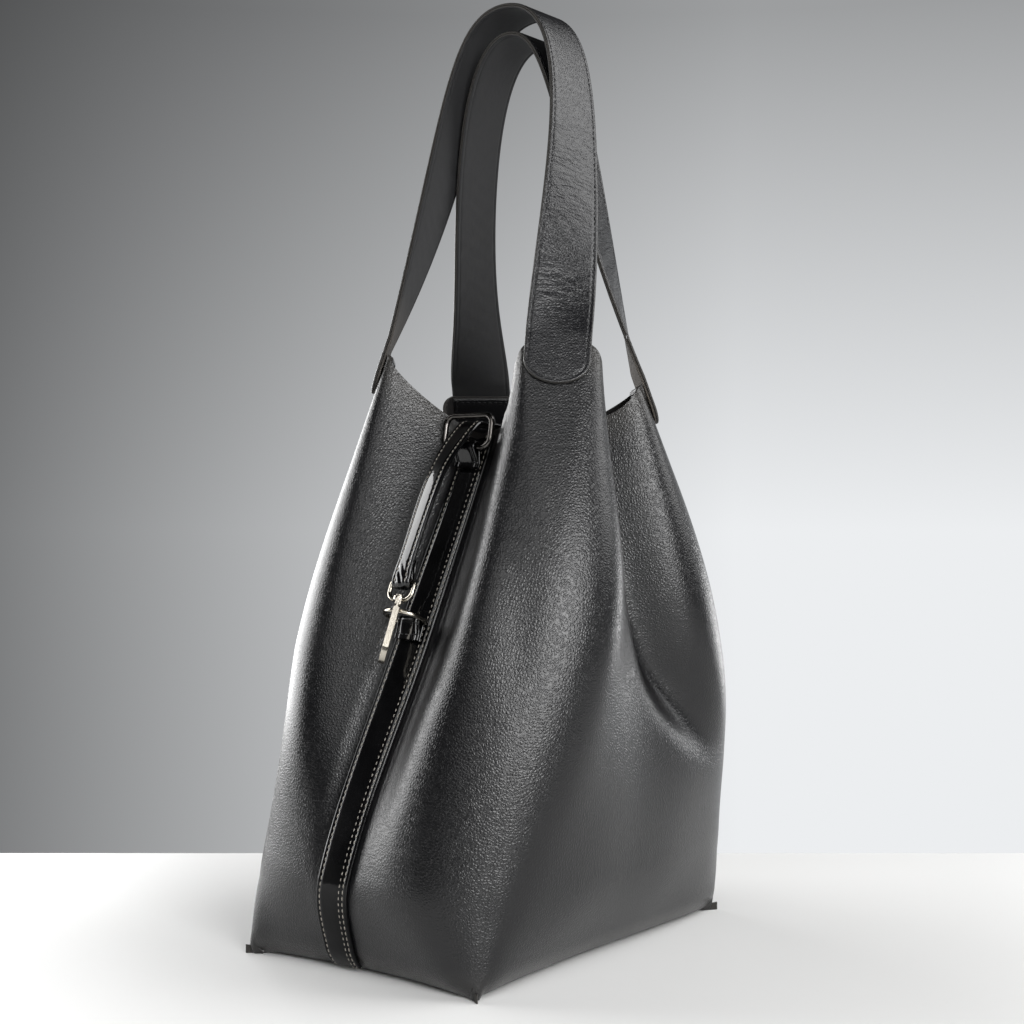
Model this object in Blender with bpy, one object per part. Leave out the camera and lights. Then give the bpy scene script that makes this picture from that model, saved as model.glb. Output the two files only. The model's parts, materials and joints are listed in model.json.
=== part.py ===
# Soft leather bucket tote with two shoulder straps and a patent closure strap.
# Metres, +Z up. The origin is the middle of the base, the closure side faces -Y.
import math

import bpy
import bmesh
from mathutils import Matrix, Vector

# Base of the bag
BASE_WIDTH = 0.152
BASE_DEPTH = 0.234
BASE_THICKNESS = 0.0025
BASE_EAR = 0.004
BOARD_THICKNESS = 0.002
BOARD_MARGIN = 0.003

# Leather walls: four lifted peaks, a drawn-in front and back, creased sides
WALL = 0.002
PEAK_HEIGHT = 0.325
BACK_PEAK_DROP = 0.017
FRONT_RIM_HEIGHT = 0.281
SIDE_RIM_HEIGHT = 0.286
MOUTH_DEPTH = 0.062
MOUTH_WIDTH = 0.136
BELLY_SHARE = 0.17
BELLY_FRONT = 0.012
BELLY_SIDE = 0.010
BELLY_CORNER = -0.002
WAIST_SHARE = 0.60
WAIST_CORNER_X = 0.078
WAIST_CORNER_Y = 0.084
WAIST_FRONT = 0.084
WAIST_SIDE = 0.080
SIDE_CREASE = 0.026
CREASE_WIDTH = 0.015
CREASE_START = 0.27
TOP_LEAN = 0.013
CREASE_GROWTH = 0.6
SEAM_SHIFT = -0.007
RIM_EASE = 0.5

# Each peak at the rim: half span across, half span in depth, and the turn of its flat face
FRONT_RIGHT_PEAK = (0.060, 0.044, math.radians(37.0))
BACK_RIGHT_PEAK = (0.056, 0.039, math.radians(37.0))
BACK_LEFT_PEAK = (0.060, 0.044, math.radians(37.0))
FRONT_LEFT_PEAK = (0.057, 0.044, math.radians(60.0))
BASE_CORNER_TURN = math.radians(45.0)
HALF_TAB_BASE = 0.0015
HALF_TAB_PEAK = 0.018

# Patent strips over the front and back seams
STRIP_WIDTH = 0.020
STRIP_THICKNESS = 0.0015
STRIP_FOOT_SHARE = 0.004
STRIP_TOP_SHARE = 0.985

# Shoulder straps
STRAP_WIDTH = 0.035
PLY_THICKNESS = 0.0012
SEWN_LENGTH = 0.021
STRAP_STANDOFF = 0.007
END_ROUND_SHARE = 0.36
FRONT_ARCH_RISE = 0.187
BACK_ARCH_RISE = 0.190
ARCH_SHOULDER = 0.120
FRONT_ARCH_CROWN = 0.042
BACK_ARCH_CROWN = 0.030
FRONT_ARCH_Y = 0.001
BACK_ARCH_Y = 0.006
FRONT_ARCH_LEAN = 0.001
BACK_ARCH_LEAN = 0.004
TWIST_FADE = 2.0
BACK_LEFT_FADE = 7.0
PATCH_WIDTH = 0.030
PATCH_LENGTH = 0.020
PATCH_THICKNESS = 0.0012

# Closure: slot ring and its tab, strap, snap hook, D-ring and its tab
SLOT_RING_WIRE = 0.0034
SLOT_RING_WIDTH = 0.035
SLOT_RING_HEIGHT = 0.021
SLOT_RING_DROP = 0.012
SLOT_RING_LEAN = math.radians(10.0)
SLOT_CORNER = 0.005
SLOT_PASS_SHARE = 0.62
TAB_WIDTH = 0.015
TAB_THICKNESS = 0.0014
TAB_TAIL = 0.010
TAB_SEWN_SHARE = 0.7
CLOSURE_WIDTH = 0.014
CLOSURE_END_WIDTH = 0.012
CLOSURE_THICKNESS = 0.0020
CLOSURE_ANCHOR = 0.028
CLOSURE_SAG = 0.003
CLOSURE_BOW = 0.034
CLOSURE_FOLD = 0.012
CLOSURE_PINCH = 0.005
ANCHOR_PATCH_SHARES = (1.2, 0.9, 0.6)
D_RING_LEVEL = 0.178
D_RING_WIRE = 0.0024
D_RING_WIDTH = 0.024
D_RING_REACH = 0.0165
D_CORNER = 0.0024
HOOK_SIDE = 0.002
HOOK_INSET = 0.0006
HOOK_TURN = math.radians(41.0)
HOOK_BAR = 0.0030
HOOK_GAP = 0.0090
HOOK_LENGTH = 0.0290
HOOK_TIP = 0.0130
HOOK_PLAY = 0.0006
HOOK_CORNER = 0.003
GATE_BAR = 0.0024
GATE_TONGUE = 0.0010
GATE_PIN_DIAMETER = 0.0010
POST_DIAMETER = 0.0024
POST_HEAD = 0.0010
POST_HEAD_DIAMETER = 0.0043
BARREL_DIAMETER = 0.0064
BARREL_LENGTH = 0.0026
EYE_WIRE = 0.0024
EYE_INNER_WIDTH = 0.0130
EYE_INNER_HEIGHT = 0.0072
EYE_FOOT_CORNER = 0.0042
EYE_HEAD_CORNER = 0.0016

# Fits
GAP = 0.0003
SEAM_GAP = 0.0004
RUNNING_GAP = 0.0001

# Fineness of the meshes
SEAM_STEPS = 10
PEAK_STEPS = 3
SIDE_STEPS = 13
WALL_ROWS = 15
ROW_BIAS = 1.15
ARCH_STEPS = 20
CORNER_STEPS = 4
CLOSURE_STEPS = 4

# Share of each quarter turn where its peak sits, and half the share the peak's flat face takes
CORNER_LOCAL = 0.40
TAB_LOCAL = 0.04
RIM_RUN_SHARE = 0.98
WALL_FOOT = BASE_THICKNESS + GAP
STRAP_THICKNESS = 2 * PLY_THICKNESS + GAP
ACROSS = Vector((1, 0, 0))

SHARES = (0.0, BELLY_SHARE, WAIST_SHARE, 1.0)
CORNER_X = (BASE_WIDTH / 2, BASE_WIDTH / 2 - BELLY_CORNER, WAIST_CORNER_X)
CORNER_Y = (BASE_DEPTH / 2, BASE_DEPTH / 2 + BELLY_CORNER, WAIST_CORNER_Y)
FRONT_Y = (BASE_DEPTH / 2, BASE_DEPTH / 2 + BELLY_FRONT, WAIST_FRONT, MOUTH_DEPTH / 2)
SIDE_X = (BASE_WIDTH / 2, BASE_WIDTH / 2 + BELLY_SIDE, WAIST_SIDE, MOUTH_WIDTH / 2)
FRONT_REACH = (0.004, 0.020, 0.040, 0.010)
SIDE_REACH = (0.004, 0.016, 0.024, 0.009)
FLATNESS = (0.80, 0.70, 0.55, 0.45)
QUARTERS = (FRONT_RIGHT_PEAK, BACK_RIGHT_PEAK, BACK_LEFT_PEAK, FRONT_LEFT_PEAK)


def mix(a, b, t):
    return a + (b - a) * t


def through(values, share):
    """Smooth value at a height share, through the base, belly, waist and rim values."""
    last = len(SHARES) - 1
    span = max(k for k in range(last) if SHARES[k] <= max(share, 0.0))

    def slope(k):
        low, high = max(k - 1, 0), min(k + 1, last)
        return (values[high] - values[low]) / (SHARES[high] - SHARES[low])

    step = SHARES[span + 1] - SHARES[span]
    t = (share - SHARES[span]) / step
    start = (2 * t + 1) * (t - 1) ** 2
    lead = t * (t - 1) ** 2 * step
    trail = t * t * (t - 1) * step
    return (start * values[span] + lead * slope(span)
            + (1 - start) * values[span + 1] + trail * slope(span + 1))


def bezier(points, t):
    a, b, c, d = points
    return (a * (1 - t) ** 3 + b * 3 * t * (1 - t) ** 2
            + c * 3 * t * t * (1 - t) + d * t ** 3)


def half_tab(share):
    return mix(HALF_TAB_BASE, HALF_TAB_PEAK, share * share)


def peak_height(turn):
    """Top of the peaks: the back pair stands a little lower than the front pair."""
    return PEAK_HEIGHT - (BACK_PEAK_DROP if 1.0 < turn % 4.0 < 3.0 else 0.0)


def rim_height(turn):
    """Height of the cut edge: level over each peak, falling to the seam and to the side."""
    local = min(turn % 2.0, 2.0 - turn % 2.0)
    away = max(abs(local - CORNER_LOCAL) - TAB_LOCAL, 0.0)
    if local < CORNER_LOCAL:
        fall, low = away / (CORNER_LOCAL - TAB_LOCAL), FRONT_RIM_HEIGHT
    else:
        fall, low = away / (1 - CORNER_LOCAL - TAB_LOCAL), SIDE_RIM_HEIGHT
    ease = fall * fall * (3 - 2 * fall)
    return mix(peak_height(turn), low, mix(fall, ease, RIM_EASE))


def quarter(local, share, peak):
    """Outer face of one quarter in plan: local 0 is the seam, 1 the middle of the side."""
    peak_x, peak_y, facing = peak
    seam = Vector((0, -through(FRONT_Y, share)))
    corner = Vector((through(CORNER_X + (peak_x,), share), -through(CORNER_Y + (peak_y,), share)))
    side = Vector((through(SIDE_X, share), 0))
    turn = mix(BASE_CORNER_TURN, facing, share)
    along = Vector((math.cos(turn), math.sin(turn)))
    flat = through(FLATNESS, share)
    tab = along * half_tab(share)
    start, end = CORNER_LOCAL - TAB_LOCAL, CORNER_LOCAL + TAB_LOCAL
    if local < start:
        reach = along * through(FRONT_REACH, share)
        route = (seam, seam + Vector((flat * corner.x, 0)), corner - tab - reach, corner - tab)
        place = bezier(route, local / start)
        shift = (1 - local / start) ** 2
    elif local <= end:
        place = corner + tab * ((local - CORNER_LOCAL) / TAB_LOCAL)
        shift = 0.0
    else:
        reach = along * through(SIDE_REACH, share)
        route = (corner + tab, corner + tab + reach, side + Vector((0, flat * corner.y)), side)
        place = bezier(route, (local - end) / (1 - end))
        rise = max(0.0, (share - CREASE_START) / (1 - CREASE_START)) ** CREASE_GROWTH
        place.x -= SIDE_CREASE * rise * math.exp(-(place.y / CREASE_WIDTH) ** 2)
        shift = 0.0
    return place, shift


def wall_point(turn, share):
    """Outer face of the wall. Turn 0 is the front seam, 1 the right side, 2 the back seam."""
    turn %= 4.0
    local = min(turn % 2.0, 2.0 - turn % 2.0)
    place, shift = quarter(local, share, QUARTERS[int(turn)])
    x = place.x if turn <= 2.0 else -place.x
    y = place.y if turn < 1.0 or turn > 3.0 else -place.y
    x += TOP_LEAN * (1 - (1 - share) ** 2) + SEAM_SHIFT * shift * (1 - share)
    return Vector((x, y, mix(WALL_FOOT, rim_height(turn), share)))


def wall_normal(turn, share):
    step = 0.002
    low, high = min(share, 1 - step), min(share, 1 - step) + step
    around = wall_point(turn + step, share) - wall_point(turn - step, share)
    upward = wall_point(turn, high) - wall_point(turn, low)
    return around.cross(upward).normalized()


def new_material(name, colour, roughness, metallic=0.0, coat=0.0):
    material = bpy.data.materials.new(name)
    material.use_nodes = True
    shader = material.node_tree.nodes["Principled BSDF"]
    shader.inputs["Base Color"].default_value = (*colour, 1.0)
    shader.inputs["Roughness"].default_value = roughness
    shader.inputs["Metallic"].default_value = metallic
    shader.inputs["Coat Weight"].default_value = coat
    material.diffuse_color = (*colour, 1.0)
    return material


def finish(name, mesh, material, pivot=Vector(), smooth=40.0):
    """Close off one piece: outward faces, its finish, and its origin on its own pivot."""
    mesh.normal_update()
    bmesh.ops.recalc_face_normals(mesh, faces=mesh.faces)
    if mesh.calc_volume(signed=True) < 0:
        bmesh.ops.reverse_faces(mesh, faces=mesh.faces)
    data = bpy.data.meshes.new(name)
    mesh.to_mesh(data)
    mesh.free()
    data.transform(Matrix.Translation(-pivot))
    data.shade_smooth()
    data.set_sharp_from_angle(angle=math.radians(smooth))
    data.materials.append(material)
    piece = bpy.data.objects.new(name, data)
    piece.location = pivot
    bpy.context.scene.collection.objects.link(piece)
    return piece


def shell(outer, inner):
    """Closed sheet between two equal grids of points."""
    mesh = bmesh.new()
    faces = [[mesh.verts.new(p) for p in row] for row in outer]
    backs = [[mesh.verts.new(p) for p in row] for row in inner]
    rows, columns = len(outer), len(outer[0])
    for i in range(rows - 1):
        for j in range(columns - 1):
            mesh.faces.new((faces[i][j], faces[i][j + 1], faces[i + 1][j + 1], faces[i + 1][j]))
            mesh.faces.new((backs[i][j], backs[i + 1][j], backs[i + 1][j + 1], backs[i][j + 1]))
    edge = [(i, 0) for i in range(rows)] + [(rows - 1, j) for j in range(1, columns)]
    edge += [(i, columns - 1) for i in range(rows - 2, -1, -1)]
    edge += [(0, j) for j in range(columns - 2, 0, -1)]
    for (i, j), (k, m) in zip(edge, edge[1:] + edge[:1]):
        mesh.faces.new((faces[i][j], faces[k][m], backs[k][m], backs[i][j]))
    return mesh


def sweep(sections, closed=False):
    """Closed body through equal outlines, with flat ends unless it runs round in a ring.

    The diagonals of both broad faces of a strap run the same way, so that twisted plies nest.
    """
    mesh = bmesh.new()
    loops = [[mesh.verts.new(p) for p in outline] for outline in sections]
    count = len(loops[0])
    pairs = list(zip(loops, loops[1:]))
    if closed:
        pairs.append((loops[-1], loops[0]))
    for low, high in pairs:
        for k in range(count):
            m = (k + 1) % count
            a, b = (k, m) if k < count // 2 else (m, k)
            mesh.faces.new((low[a], low[b], high[b]))
            mesh.faces.new((low[a], high[b], high[a]))
    if not closed:
        mesh.faces.new(loops[0][::-1])
        mesh.faces.new(loops[-1])
    return mesh


def box_outline(place, side, face, width, low, high):
    """Flat strap section: width along side, from low to high along face."""
    return [place + side * (width / 2 * a) + face * b
            for a, b in ((-1, low), (1, low), (1, high), (-1, high))]


def round_outline(place, side, face, diameter, count=10):
    angles = [2 * math.pi * k / count for k in range(count)]
    return [place + (side * math.cos(a) + face * math.sin(a)) * (diameter / 2) for a in angles]


def wire(path, normal, diameter, closed, count=10):
    """Round wire bent in one plane."""
    sections = []
    for k, place in enumerate(path):
        before = path[k - 1] if closed or k else path[0]
        after = path[(k + 1) % len(path)] if closed or k + 1 < len(path) else path[-1]
        run = (after - before).normalized()
        sections.append(round_outline(place, normal.cross(run), normal, diameter, count))
    return sweep(sections, closed)


def arc(centre, radius, u, v, start, end, steps):
    angles = [math.radians(mix(start, end, k / steps)) for k in range(steps + 1)]
    return [centre + (u * math.cos(a) + v * math.sin(a)) * radius for a in angles]


# Start from an empty scene
for item in list(bpy.data.objects):
    bpy.data.objects.remove(item, do_unlink=True)

LEATHER = new_material("black_calf_leather", (0.012, 0.012, 0.013), 0.45)
SUEDE_SIDE = new_material("strap_underside", (0.045, 0.043, 0.041), 0.85)
PATENT = new_material("black_patent_leather", (0.004, 0.004, 0.004), 0.08, coat=1.0)
BOARD = new_material("base_board", (0.06, 0.05, 0.045), 0.9)
GUNMETAL = new_material("gunmetal_plate", (0.16, 0.15, 0.145), 0.25, 1.0)
NICKEL = new_material("polished_nickel", (0.55, 0.53, 0.50), 0.18, 1.0)

# Walls: two leather panels that meet under the patent strips at front and back

def quarter_locals():
    start, end = CORNER_LOCAL - TAB_LOCAL, CORNER_LOCAL + TAB_LOCAL
    marks = [start * k / SEAM_STEPS for k in range(SEAM_STEPS)]
    marks += [mix(start, end, k / PEAK_STEPS) for k in range(PEAK_STEPS)]
    marks += [mix(end, 1.0, math.sin(math.pi / 2 * k / SIDE_STEPS)) for k in range(SIDE_STEPS + 1)]
    return marks


def wall_shares():
    """Height shares of the rows, closer together near the base."""
    return [(k / WALL_ROWS) ** ROW_BIAS for k in range(WALL_ROWS + 1)]


def body_panel(name, first):
    locals_ = quarter_locals()
    turns = [first + m for m in locals_] + [first + 2 - m for m in locals_[-2::-1]]
    shares = wall_shares()
    outer = [[wall_point(t, s) for t in turns] for s in shares]
    inner = [[wall_point(t, s) - wall_normal(t, s) * WALL for t in turns] for s in shares]
    for row, back in zip(outer, inner):
        for k, way in ((0, 1), (-1, -1)):
            pull = (row[k + way] - row[k]).normalized() * (SEAM_GAP / 2)
            row[k] = row[k] + pull
            back[k] = back[k] + pull
    for k in range(len(turns)):
        inner[0][k].z = WALL_FOOT
    return finish(name, shell(outer, inner), LEATHER)


body_panel("right_body_panel", 0.0)
body_panel("left_body_panel", 2.0)


# Base: a leather panel under the walls with pinched corner ears, and a stiff board on it
def foot_outline(inset, ear):
    """Outline of the walls' foot, drawn in all round or drawn out at the four corners."""
    marks = quarter_locals()
    turns = [m for m in marks[:-1]] + [2 - m for m in marks[:0:-1]]
    scale_x = 1 - inset / (BASE_WIDTH / 2)
    scale_y = 1 - inset / (BASE_DEPTH / 2)
    points = []
    for turn in turns + [t + 2 for t in turns]:
        near = abs(min(turn % 2, 2 - turn % 2) - CORNER_LOCAL) / (2 * TAB_LOCAL)
        normal = wall_normal(turn, 0.0)
        place = wall_point(turn, 0.0) + normal * (ear * max(0.0, 1 - near * near))
        points.append(Vector((place.x * scale_x, place.y * scale_y, 0)))
    return points


def plate(name, outline, low, high, material):
    sections = [[Vector((p.x, p.y, z)) for p in outline] for z in (low, high)]
    return finish(name, sweep(sections), material)


plate("base_panel", foot_outline(0.0, BASE_EAR), 0.0, BASE_THICKNESS, LEATHER)
BOARD_FOOT = BASE_THICKNESS + GAP
plate("base_board", foot_outline(WALL + BOARD_MARGIN, 0.0), BOARD_FOOT,
      BOARD_FOOT + BOARD_THICKNESS, BOARD)


# Strips of patent leather along the front and back seams
def turn_beside(seam, share, offset):
    """Turn at a sideways distance from a seam, by halving."""
    low, high = 0.0, CORNER_LOCAL - TAB_LOCAL
    middle = wall_point(seam, share)
    for _ in range(30):
        half = (low + high) / 2
        if (wall_point(seam + half, share) - middle).length < abs(offset):
            low = half
        else:
            high = half
    return seam + math.copysign(low, offset) if offset else seam


def on_seam(seam, share, offset, lift):
    turn = turn_beside(seam, share, offset)
    return wall_point(turn, share) + wall_normal(turn, share) * lift


def seam_patch(name, seam, shares, width, low, high, material):
    spots = [width * k / 4 - width / 2 for k in range(5)]
    inner = [[on_seam(seam, s, o, low) for o in spots] for s in shares]
    outer = [[on_seam(seam, s, o, high) for o in spots] for s in shares]
    return finish(name, shell(outer, inner), material)


STRIP_LIFT = GAP + SEAM_GAP / 2
STRIP_FACE = STRIP_LIFT + STRIP_THICKNESS
STRIP_SHARES = [STRIP_FOOT_SHARE] + wall_shares()[1:-1] + [STRIP_TOP_SHARE]
for label, seam in (("front_seam_strip", 0.0), ("back_seam_strip", 2.0)):
    seam_patch(label, seam, STRIP_SHARES, STRIP_WIDTH, STRIP_LIFT, STRIP_FACE, PATENT)

# Shoulder straps: a sewn end on each peak, and an arch of two plies between each pair
PEAKS = {"front_right": CORNER_LOCAL, "back_right": 2 - CORNER_LOCAL,
         "back_left": 2 + CORNER_LOCAL, "front_left": 4 - CORNER_LOCAL}
STRAP_LIFT = 2 * GAP


def strap_cut(peak):
    """Level where the sewn end stops and the free strap starts."""
    return peak_height(peak) + STRAP_STANDOFF


def peak_place(peak, height):
    """Point on a peak's outer face at a height, carried straight on above the rim."""
    share = (height - WALL_FOOT) / (peak_height(peak) - WALL_FOOT)
    if share <= 1:
        return wall_point(peak, share)
    top = wall_point(peak, 1.0)
    run = top - wall_point(peak, RIM_RUN_SHARE)
    return top + run * ((height - top.z) / run.z)


def peak_side(peak):
    step = TAB_LOCAL / 2
    return (wall_point(peak + step, 1.0) - wall_point(peak - step, 1.0)).normalized()


def peak_outline(peak, height, width, low, high):
    return box_outline(peak_place(peak, height), peak_side(peak), wall_normal(peak, 1.0),
                       width, low, high)


def cut_outline(peak, height, low, high):
    """Strap section cut off level."""
    outline = peak_outline(peak, height, STRAP_WIDTH, low, high)
    return [Vector((p.x, p.y, height)) for p in outline]


def sewn_end(name, peak):
    bottom = peak_height(peak) - SEWN_LENGTH
    top = strap_cut(peak) - GAP
    crown = STRAP_WIDTH * END_ROUND_SHARE
    low, high = STRAP_LIFT, STRAP_LIFT + STRAP_THICKNESS
    sections = []
    for angle in (18, 36, 54, 72, 90):
        turn = math.radians(angle)
        height = bottom + crown * (1 - math.cos(turn))
        sections.append(peak_outline(peak, height, STRAP_WIDTH * math.sin(turn), low, high))
    sections.append(peak_outline(peak, peak_height(peak), STRAP_WIDTH, low, high))
    sections.append(cut_outline(peak, top, low, high))
    return finish(name, sweep(sections), LEATHER)


def backing_patch(name, peak):
    near = -WALL - STRAP_LIFT
    top = peak_height(peak) - WALL
    levels = [top - PATCH_LENGTH * k / 3 for k in range(4)]
    sections = [peak_outline(peak, z, PATCH_WIDTH, near - PATCH_THICKNESS, near) for z in levels]
    return finish(name, sweep(sections), LEATHER)


def arch(names, right, left, rise, crown_reach, meet_y, lean_x, left_fade):
    """Two plies of one strap, from the right sewn end over the crown to the left one."""
    cut = strap_cut(right)
    middle = STRAP_LIFT + STRAP_THICKNESS / 2
    facing = math.copysign(1, wall_point(right, 1.0).y)
    ends = []
    for peak in (right, left):
        outline = cut_outline(peak, cut, middle, middle)
        ends.append((outline[0] + outline[1]) / 2)
    crown = (ends[0] + ends[1]) / 2
    crown = Vector((crown.x + lean_x, meet_y, cut + rise))
    path = []
    for end, peak, way in ((ends[0], right, 1), (ends[1], left, -1)):
        run = peak_place(peak, cut) - wall_point(peak, 1.0)
        shoulder = end + run * (ARCH_SHOULDER / run.z)
        shoulder.y = meet_y
        route = (end, shoulder, crown + ACROSS * (crown_reach * way), crown)
        leg = [bezier(route, k / ARCH_STEPS) for k in range(ARCH_STEPS + 1)]
        path += leg if way > 0 else leg[-2::-1]
    layers = ((GAP / 2, GAP / 2 + PLY_THICKNESS), (-GAP / 2 - PLY_THICKNESS, -GAP / 2))
    lowest = min(p.y * -facing for peak in (right, left)
                 for p in cut_outline(peak, cut, STRAP_LIFT, STRAP_LIFT + STRAP_THICKNESS))
    pivot = Vector((crown.x, -facing * (lowest - GAP), cut))
    for name, (low, high), material in zip(names, layers, (LEATHER, SUEDE_SIDE)):
        sections = [cut_outline(right, cut, middle + low, middle + high)]
        for k in range(1, len(path) - 1):
            run = (path[k + 1] - path[k - 1]).normalized()
            rest = 1 - (path[k].z - cut) / rise
            peak, fade = (right, TWIST_FADE) if path[k].x > crown.x else (left, left_fade)
            twist = (math.pi / 2 - QUARTERS[int(peak)][2]) * rest ** fade
            lean = math.copysign(math.sin(twist), path[k].x - crown.x)
            side = Vector((lean, -facing * math.cos(twist), 0))
            side = (side - run * side.dot(run)).normalized()
            face = side.cross(run) * -facing
            sections.append(box_outline(path[k], side, face, STRAP_WIDTH, low, high))
        last = cut_outline(left, cut, middle + low, middle + high)
        sections.append([last[k] for k in (1, 0, 3, 2)])
        if facing > 0:
            sections[0] = [sections[0][k] for k in (1, 0, 3, 2)]
            sections[-1] = [sections[-1][k] for k in (1, 0, 3, 2)]
        finish(name, sweep(sections), material, pivot)


for label, peak in PEAKS.items():
    sewn_end(label + "_handle_end", peak)
    backing_patch(label + "_backing_patch", peak)
arch(("front_handle_strap", "front_handle_lining"), PEAKS["front_right"], PEAKS["front_left"],
     FRONT_ARCH_RISE, FRONT_ARCH_CROWN, FRONT_ARCH_Y, FRONT_ARCH_LEAN, TWIST_FADE)
arch(("back_handle_strap", "back_handle_lining"), PEAKS["back_right"], PEAKS["back_left"],
     BACK_ARCH_RISE, BACK_ARCH_CROWN, BACK_ARCH_Y, BACK_ARCH_LEAN, BACK_LEFT_FADE)


# Closure hardware hangs on the front seam, in a frame that follows the slope of the wall
def seam_frame(height):
    """Point on the front wall at a height, with its outward and downward directions."""
    share = (height - WALL_FOOT) / (FRONT_RIM_HEIGHT - WALL_FOOT)
    out = wall_normal(0.0, share)
    out.x = 0
    out.normalize()
    return wall_point(0.0, share), out, ACROSS.cross(out)


def smooth_path(points, steps):
    """Points along a curve that passes through all the given ones."""
    ends = [points[0] * 2 - points[1]] + list(points) + [points[-1] * 2 - points[-2]]
    path = []
    for a, b, c, d in zip(ends, ends[1:], ends[2:], ends[3:]):
        route = (b, b + (c - a) / 6, c - (d - b) / 6, c)
        path += [bezier(route, k / steps) for k in range(steps)]
    return path + [points[-1]]


def ribbon(path, widths, thickness):
    """Flat strap bent in a plane of constant X."""
    sections = []
    for k, place in enumerate(path):
        run = path[min(k + 1, len(path) - 1)] - path[max(k - 1, 0)]
        face = run.normalized().cross(ACROSS)
        sections.append(box_outline(place, ACROSS, face, widths[k], -thickness / 2, thickness / 2))
    return sweep(sections)


def rounded_path(centre, u, v, half_u, low, high, radii):
    """Closed path round a rectangle with its own round at the low and the high corners."""
    foot, head = radii
    corners = ((half_u - foot, low + foot, foot, -90), (half_u - head, high - head, head, 0),
               (head - half_u, high - head, head, 90), (foot - half_u, low + foot, foot, 180))
    path = []
    for a, b, radius, start in corners:
        path += arc(centre + u * a + v * b, radius, u, v, start, start + 90, CORNER_STEPS)
    return path


def seat_rise(height, half_width, face):
    """How far the hollow of the front stands out under a flat piece laid across the seam."""
    place, out, _ = seam_frame(height)
    rises = []
    for level in (height, height - TAB_TAIL / 2, height - TAB_TAIL):
        share = (level - WALL_FOOT) / (FRONT_RIM_HEIGHT - WALL_FOOT)
        for offset in (-half_width, 0.0, half_width):
            rises.append((on_seam(0.0, share, offset, face) - place).dot(out))
    return max(rises) + GAP


def bar_lift(height, ring_width, ring_wire):
    """Distance of a ring's bar from the wall: clear of its tab's lower ply and of the wall."""
    on_tab = seat_rise(height, TAB_WIDTH / 2, STRIP_FACE) + TAB_THICKNESS + 3 * GAP
    on_wall = seat_rise(height, ring_width / 2, 0.0) + 2 * GAP
    return max(on_tab, on_wall) + ring_wire / 2


def folded_tab(name, height, lift, ring_wire):
    """Short patent strap folded round a ring's bar and sewn down onto the seam strip."""
    place, out, down = seam_frame(height)
    bend = ring_wire / 2 + GAP + TAB_THICKNESS / 2
    bar = place + out * lift
    under = seat_rise(height, TAB_WIDTH / 2, STRIP_FACE) + GAP + TAB_THICKNESS / 2
    over = under + TAB_THICKNESS + GAP
    tail = place + down * TAB_TAIL
    sewn = place + down * (TAB_TAIL * TAB_SEWN_SHARE)
    path = [tail + out * under, sewn + out * under]
    path += arc(bar, bend, down, out, -90, -300, 9)
    path += [sewn + out * over, tail + out * over]
    return finish(name, ribbon(path, [TAB_WIDTH] * len(path), TAB_THICKNESS), PATENT)


SLOT_RING_LEVEL = FRONT_RIM_HEIGHT - SLOT_RING_DROP
d_lift = bar_lift(D_RING_LEVEL, D_RING_WIDTH, D_RING_WIRE)
slot_lift = bar_lift(SLOT_RING_LEVEL, SLOT_RING_WIDTH, SLOT_RING_WIRE)
folded_tab("d_ring_tab", D_RING_LEVEL, d_lift, D_RING_WIRE)
folded_tab("slot_ring_tab", SLOT_RING_LEVEL, slot_lift, SLOT_RING_WIRE)

# D-ring: bent wire with its straight bar in the fold of its tab
seam_place, seam_out, seam_down = seam_frame(D_RING_LEVEL)
d_bar = seam_place + seam_out * d_lift
d_half = (D_RING_WIDTH - D_RING_WIRE) / 2
d_path = arc(d_bar + seam_out * (D_RING_REACH - d_half), d_half, ACROSS, seam_out, 0, 180, 12)
for way, first in ((-1, 180), (1, 270)):
    d_corner = d_bar + ACROSS * (way * (d_half - D_CORNER)) + seam_out * D_CORNER
    d_path += arc(d_corner, D_CORNER, ACROSS, seam_out, first, first + 90, CORNER_STEPS)
finish("d_ring", wire(d_path, seam_down, D_RING_WIRE, True), NICKEL, d_bar)

# Slot ring: a rounded rectangle of wire that guides the closure strap over the rim
slot_place, slot_out, _ = seam_frame(SLOT_RING_LEVEL)
slot_bar = slot_place + slot_out * slot_lift
slot_up = Vector((0, math.sin(SLOT_RING_LEAN), math.cos(SLOT_RING_LEAN)))
slot_path = rounded_path(slot_bar, ACROSS, slot_up, (SLOT_RING_WIDTH - SLOT_RING_WIRE) / 2, 0.0,
                         SLOT_RING_HEIGHT - SLOT_RING_WIRE, (SLOT_CORNER, SLOT_CORNER))
finish("slot_ring", wire(slot_path, ACROSS.cross(slot_up), SLOT_RING_WIRE, True), GUNMETAL, slot_bar)

# Snap hook: a swivelling J of square bar with a pivoted gate, hung on the closure strap by its eye
hook = d_bar + ACROSS * HOOK_SIDE + seam_out * (D_RING_REACH - HOOK_INSET)
hook_out = seam_out * math.cos(HOOK_TURN) + ACROSS * math.sin(HOOK_TURN)
hook_flat = seam_down.cross(hook_out)
hook_half = (HOOK_GAP + HOOK_BAR) / 2
top_bar = -(D_RING_WIRE / 2 + HOOK_PLAY + HOOK_BAR / 2)
bend_centre = HOOK_LENGTH - hook_half - HOOK_BAR / 2


def at_hook(b, t):
    return hook + hook_out * b + seam_down * t


def square_bar(path):
    sections = []
    for k, place in enumerate(path):
        run = (path[min(k + 1, len(path) - 1)] - path[max(k - 1, 0)]).normalized()
        sections.append(box_outline(place, hook_flat, hook_flat.cross(run), HOOK_BAR,
                                    -HOOK_BAR / 2, HOOK_BAR / 2))
    return sweep(sections)


def rod(low, high, axis, centre, diameter, count=12):
    side = axis.orthogonal().normalized()
    face = axis.cross(side)
    return sweep([round_outline(centre + axis * t, side, face, diameter, count) for t in (low, high)])


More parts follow.
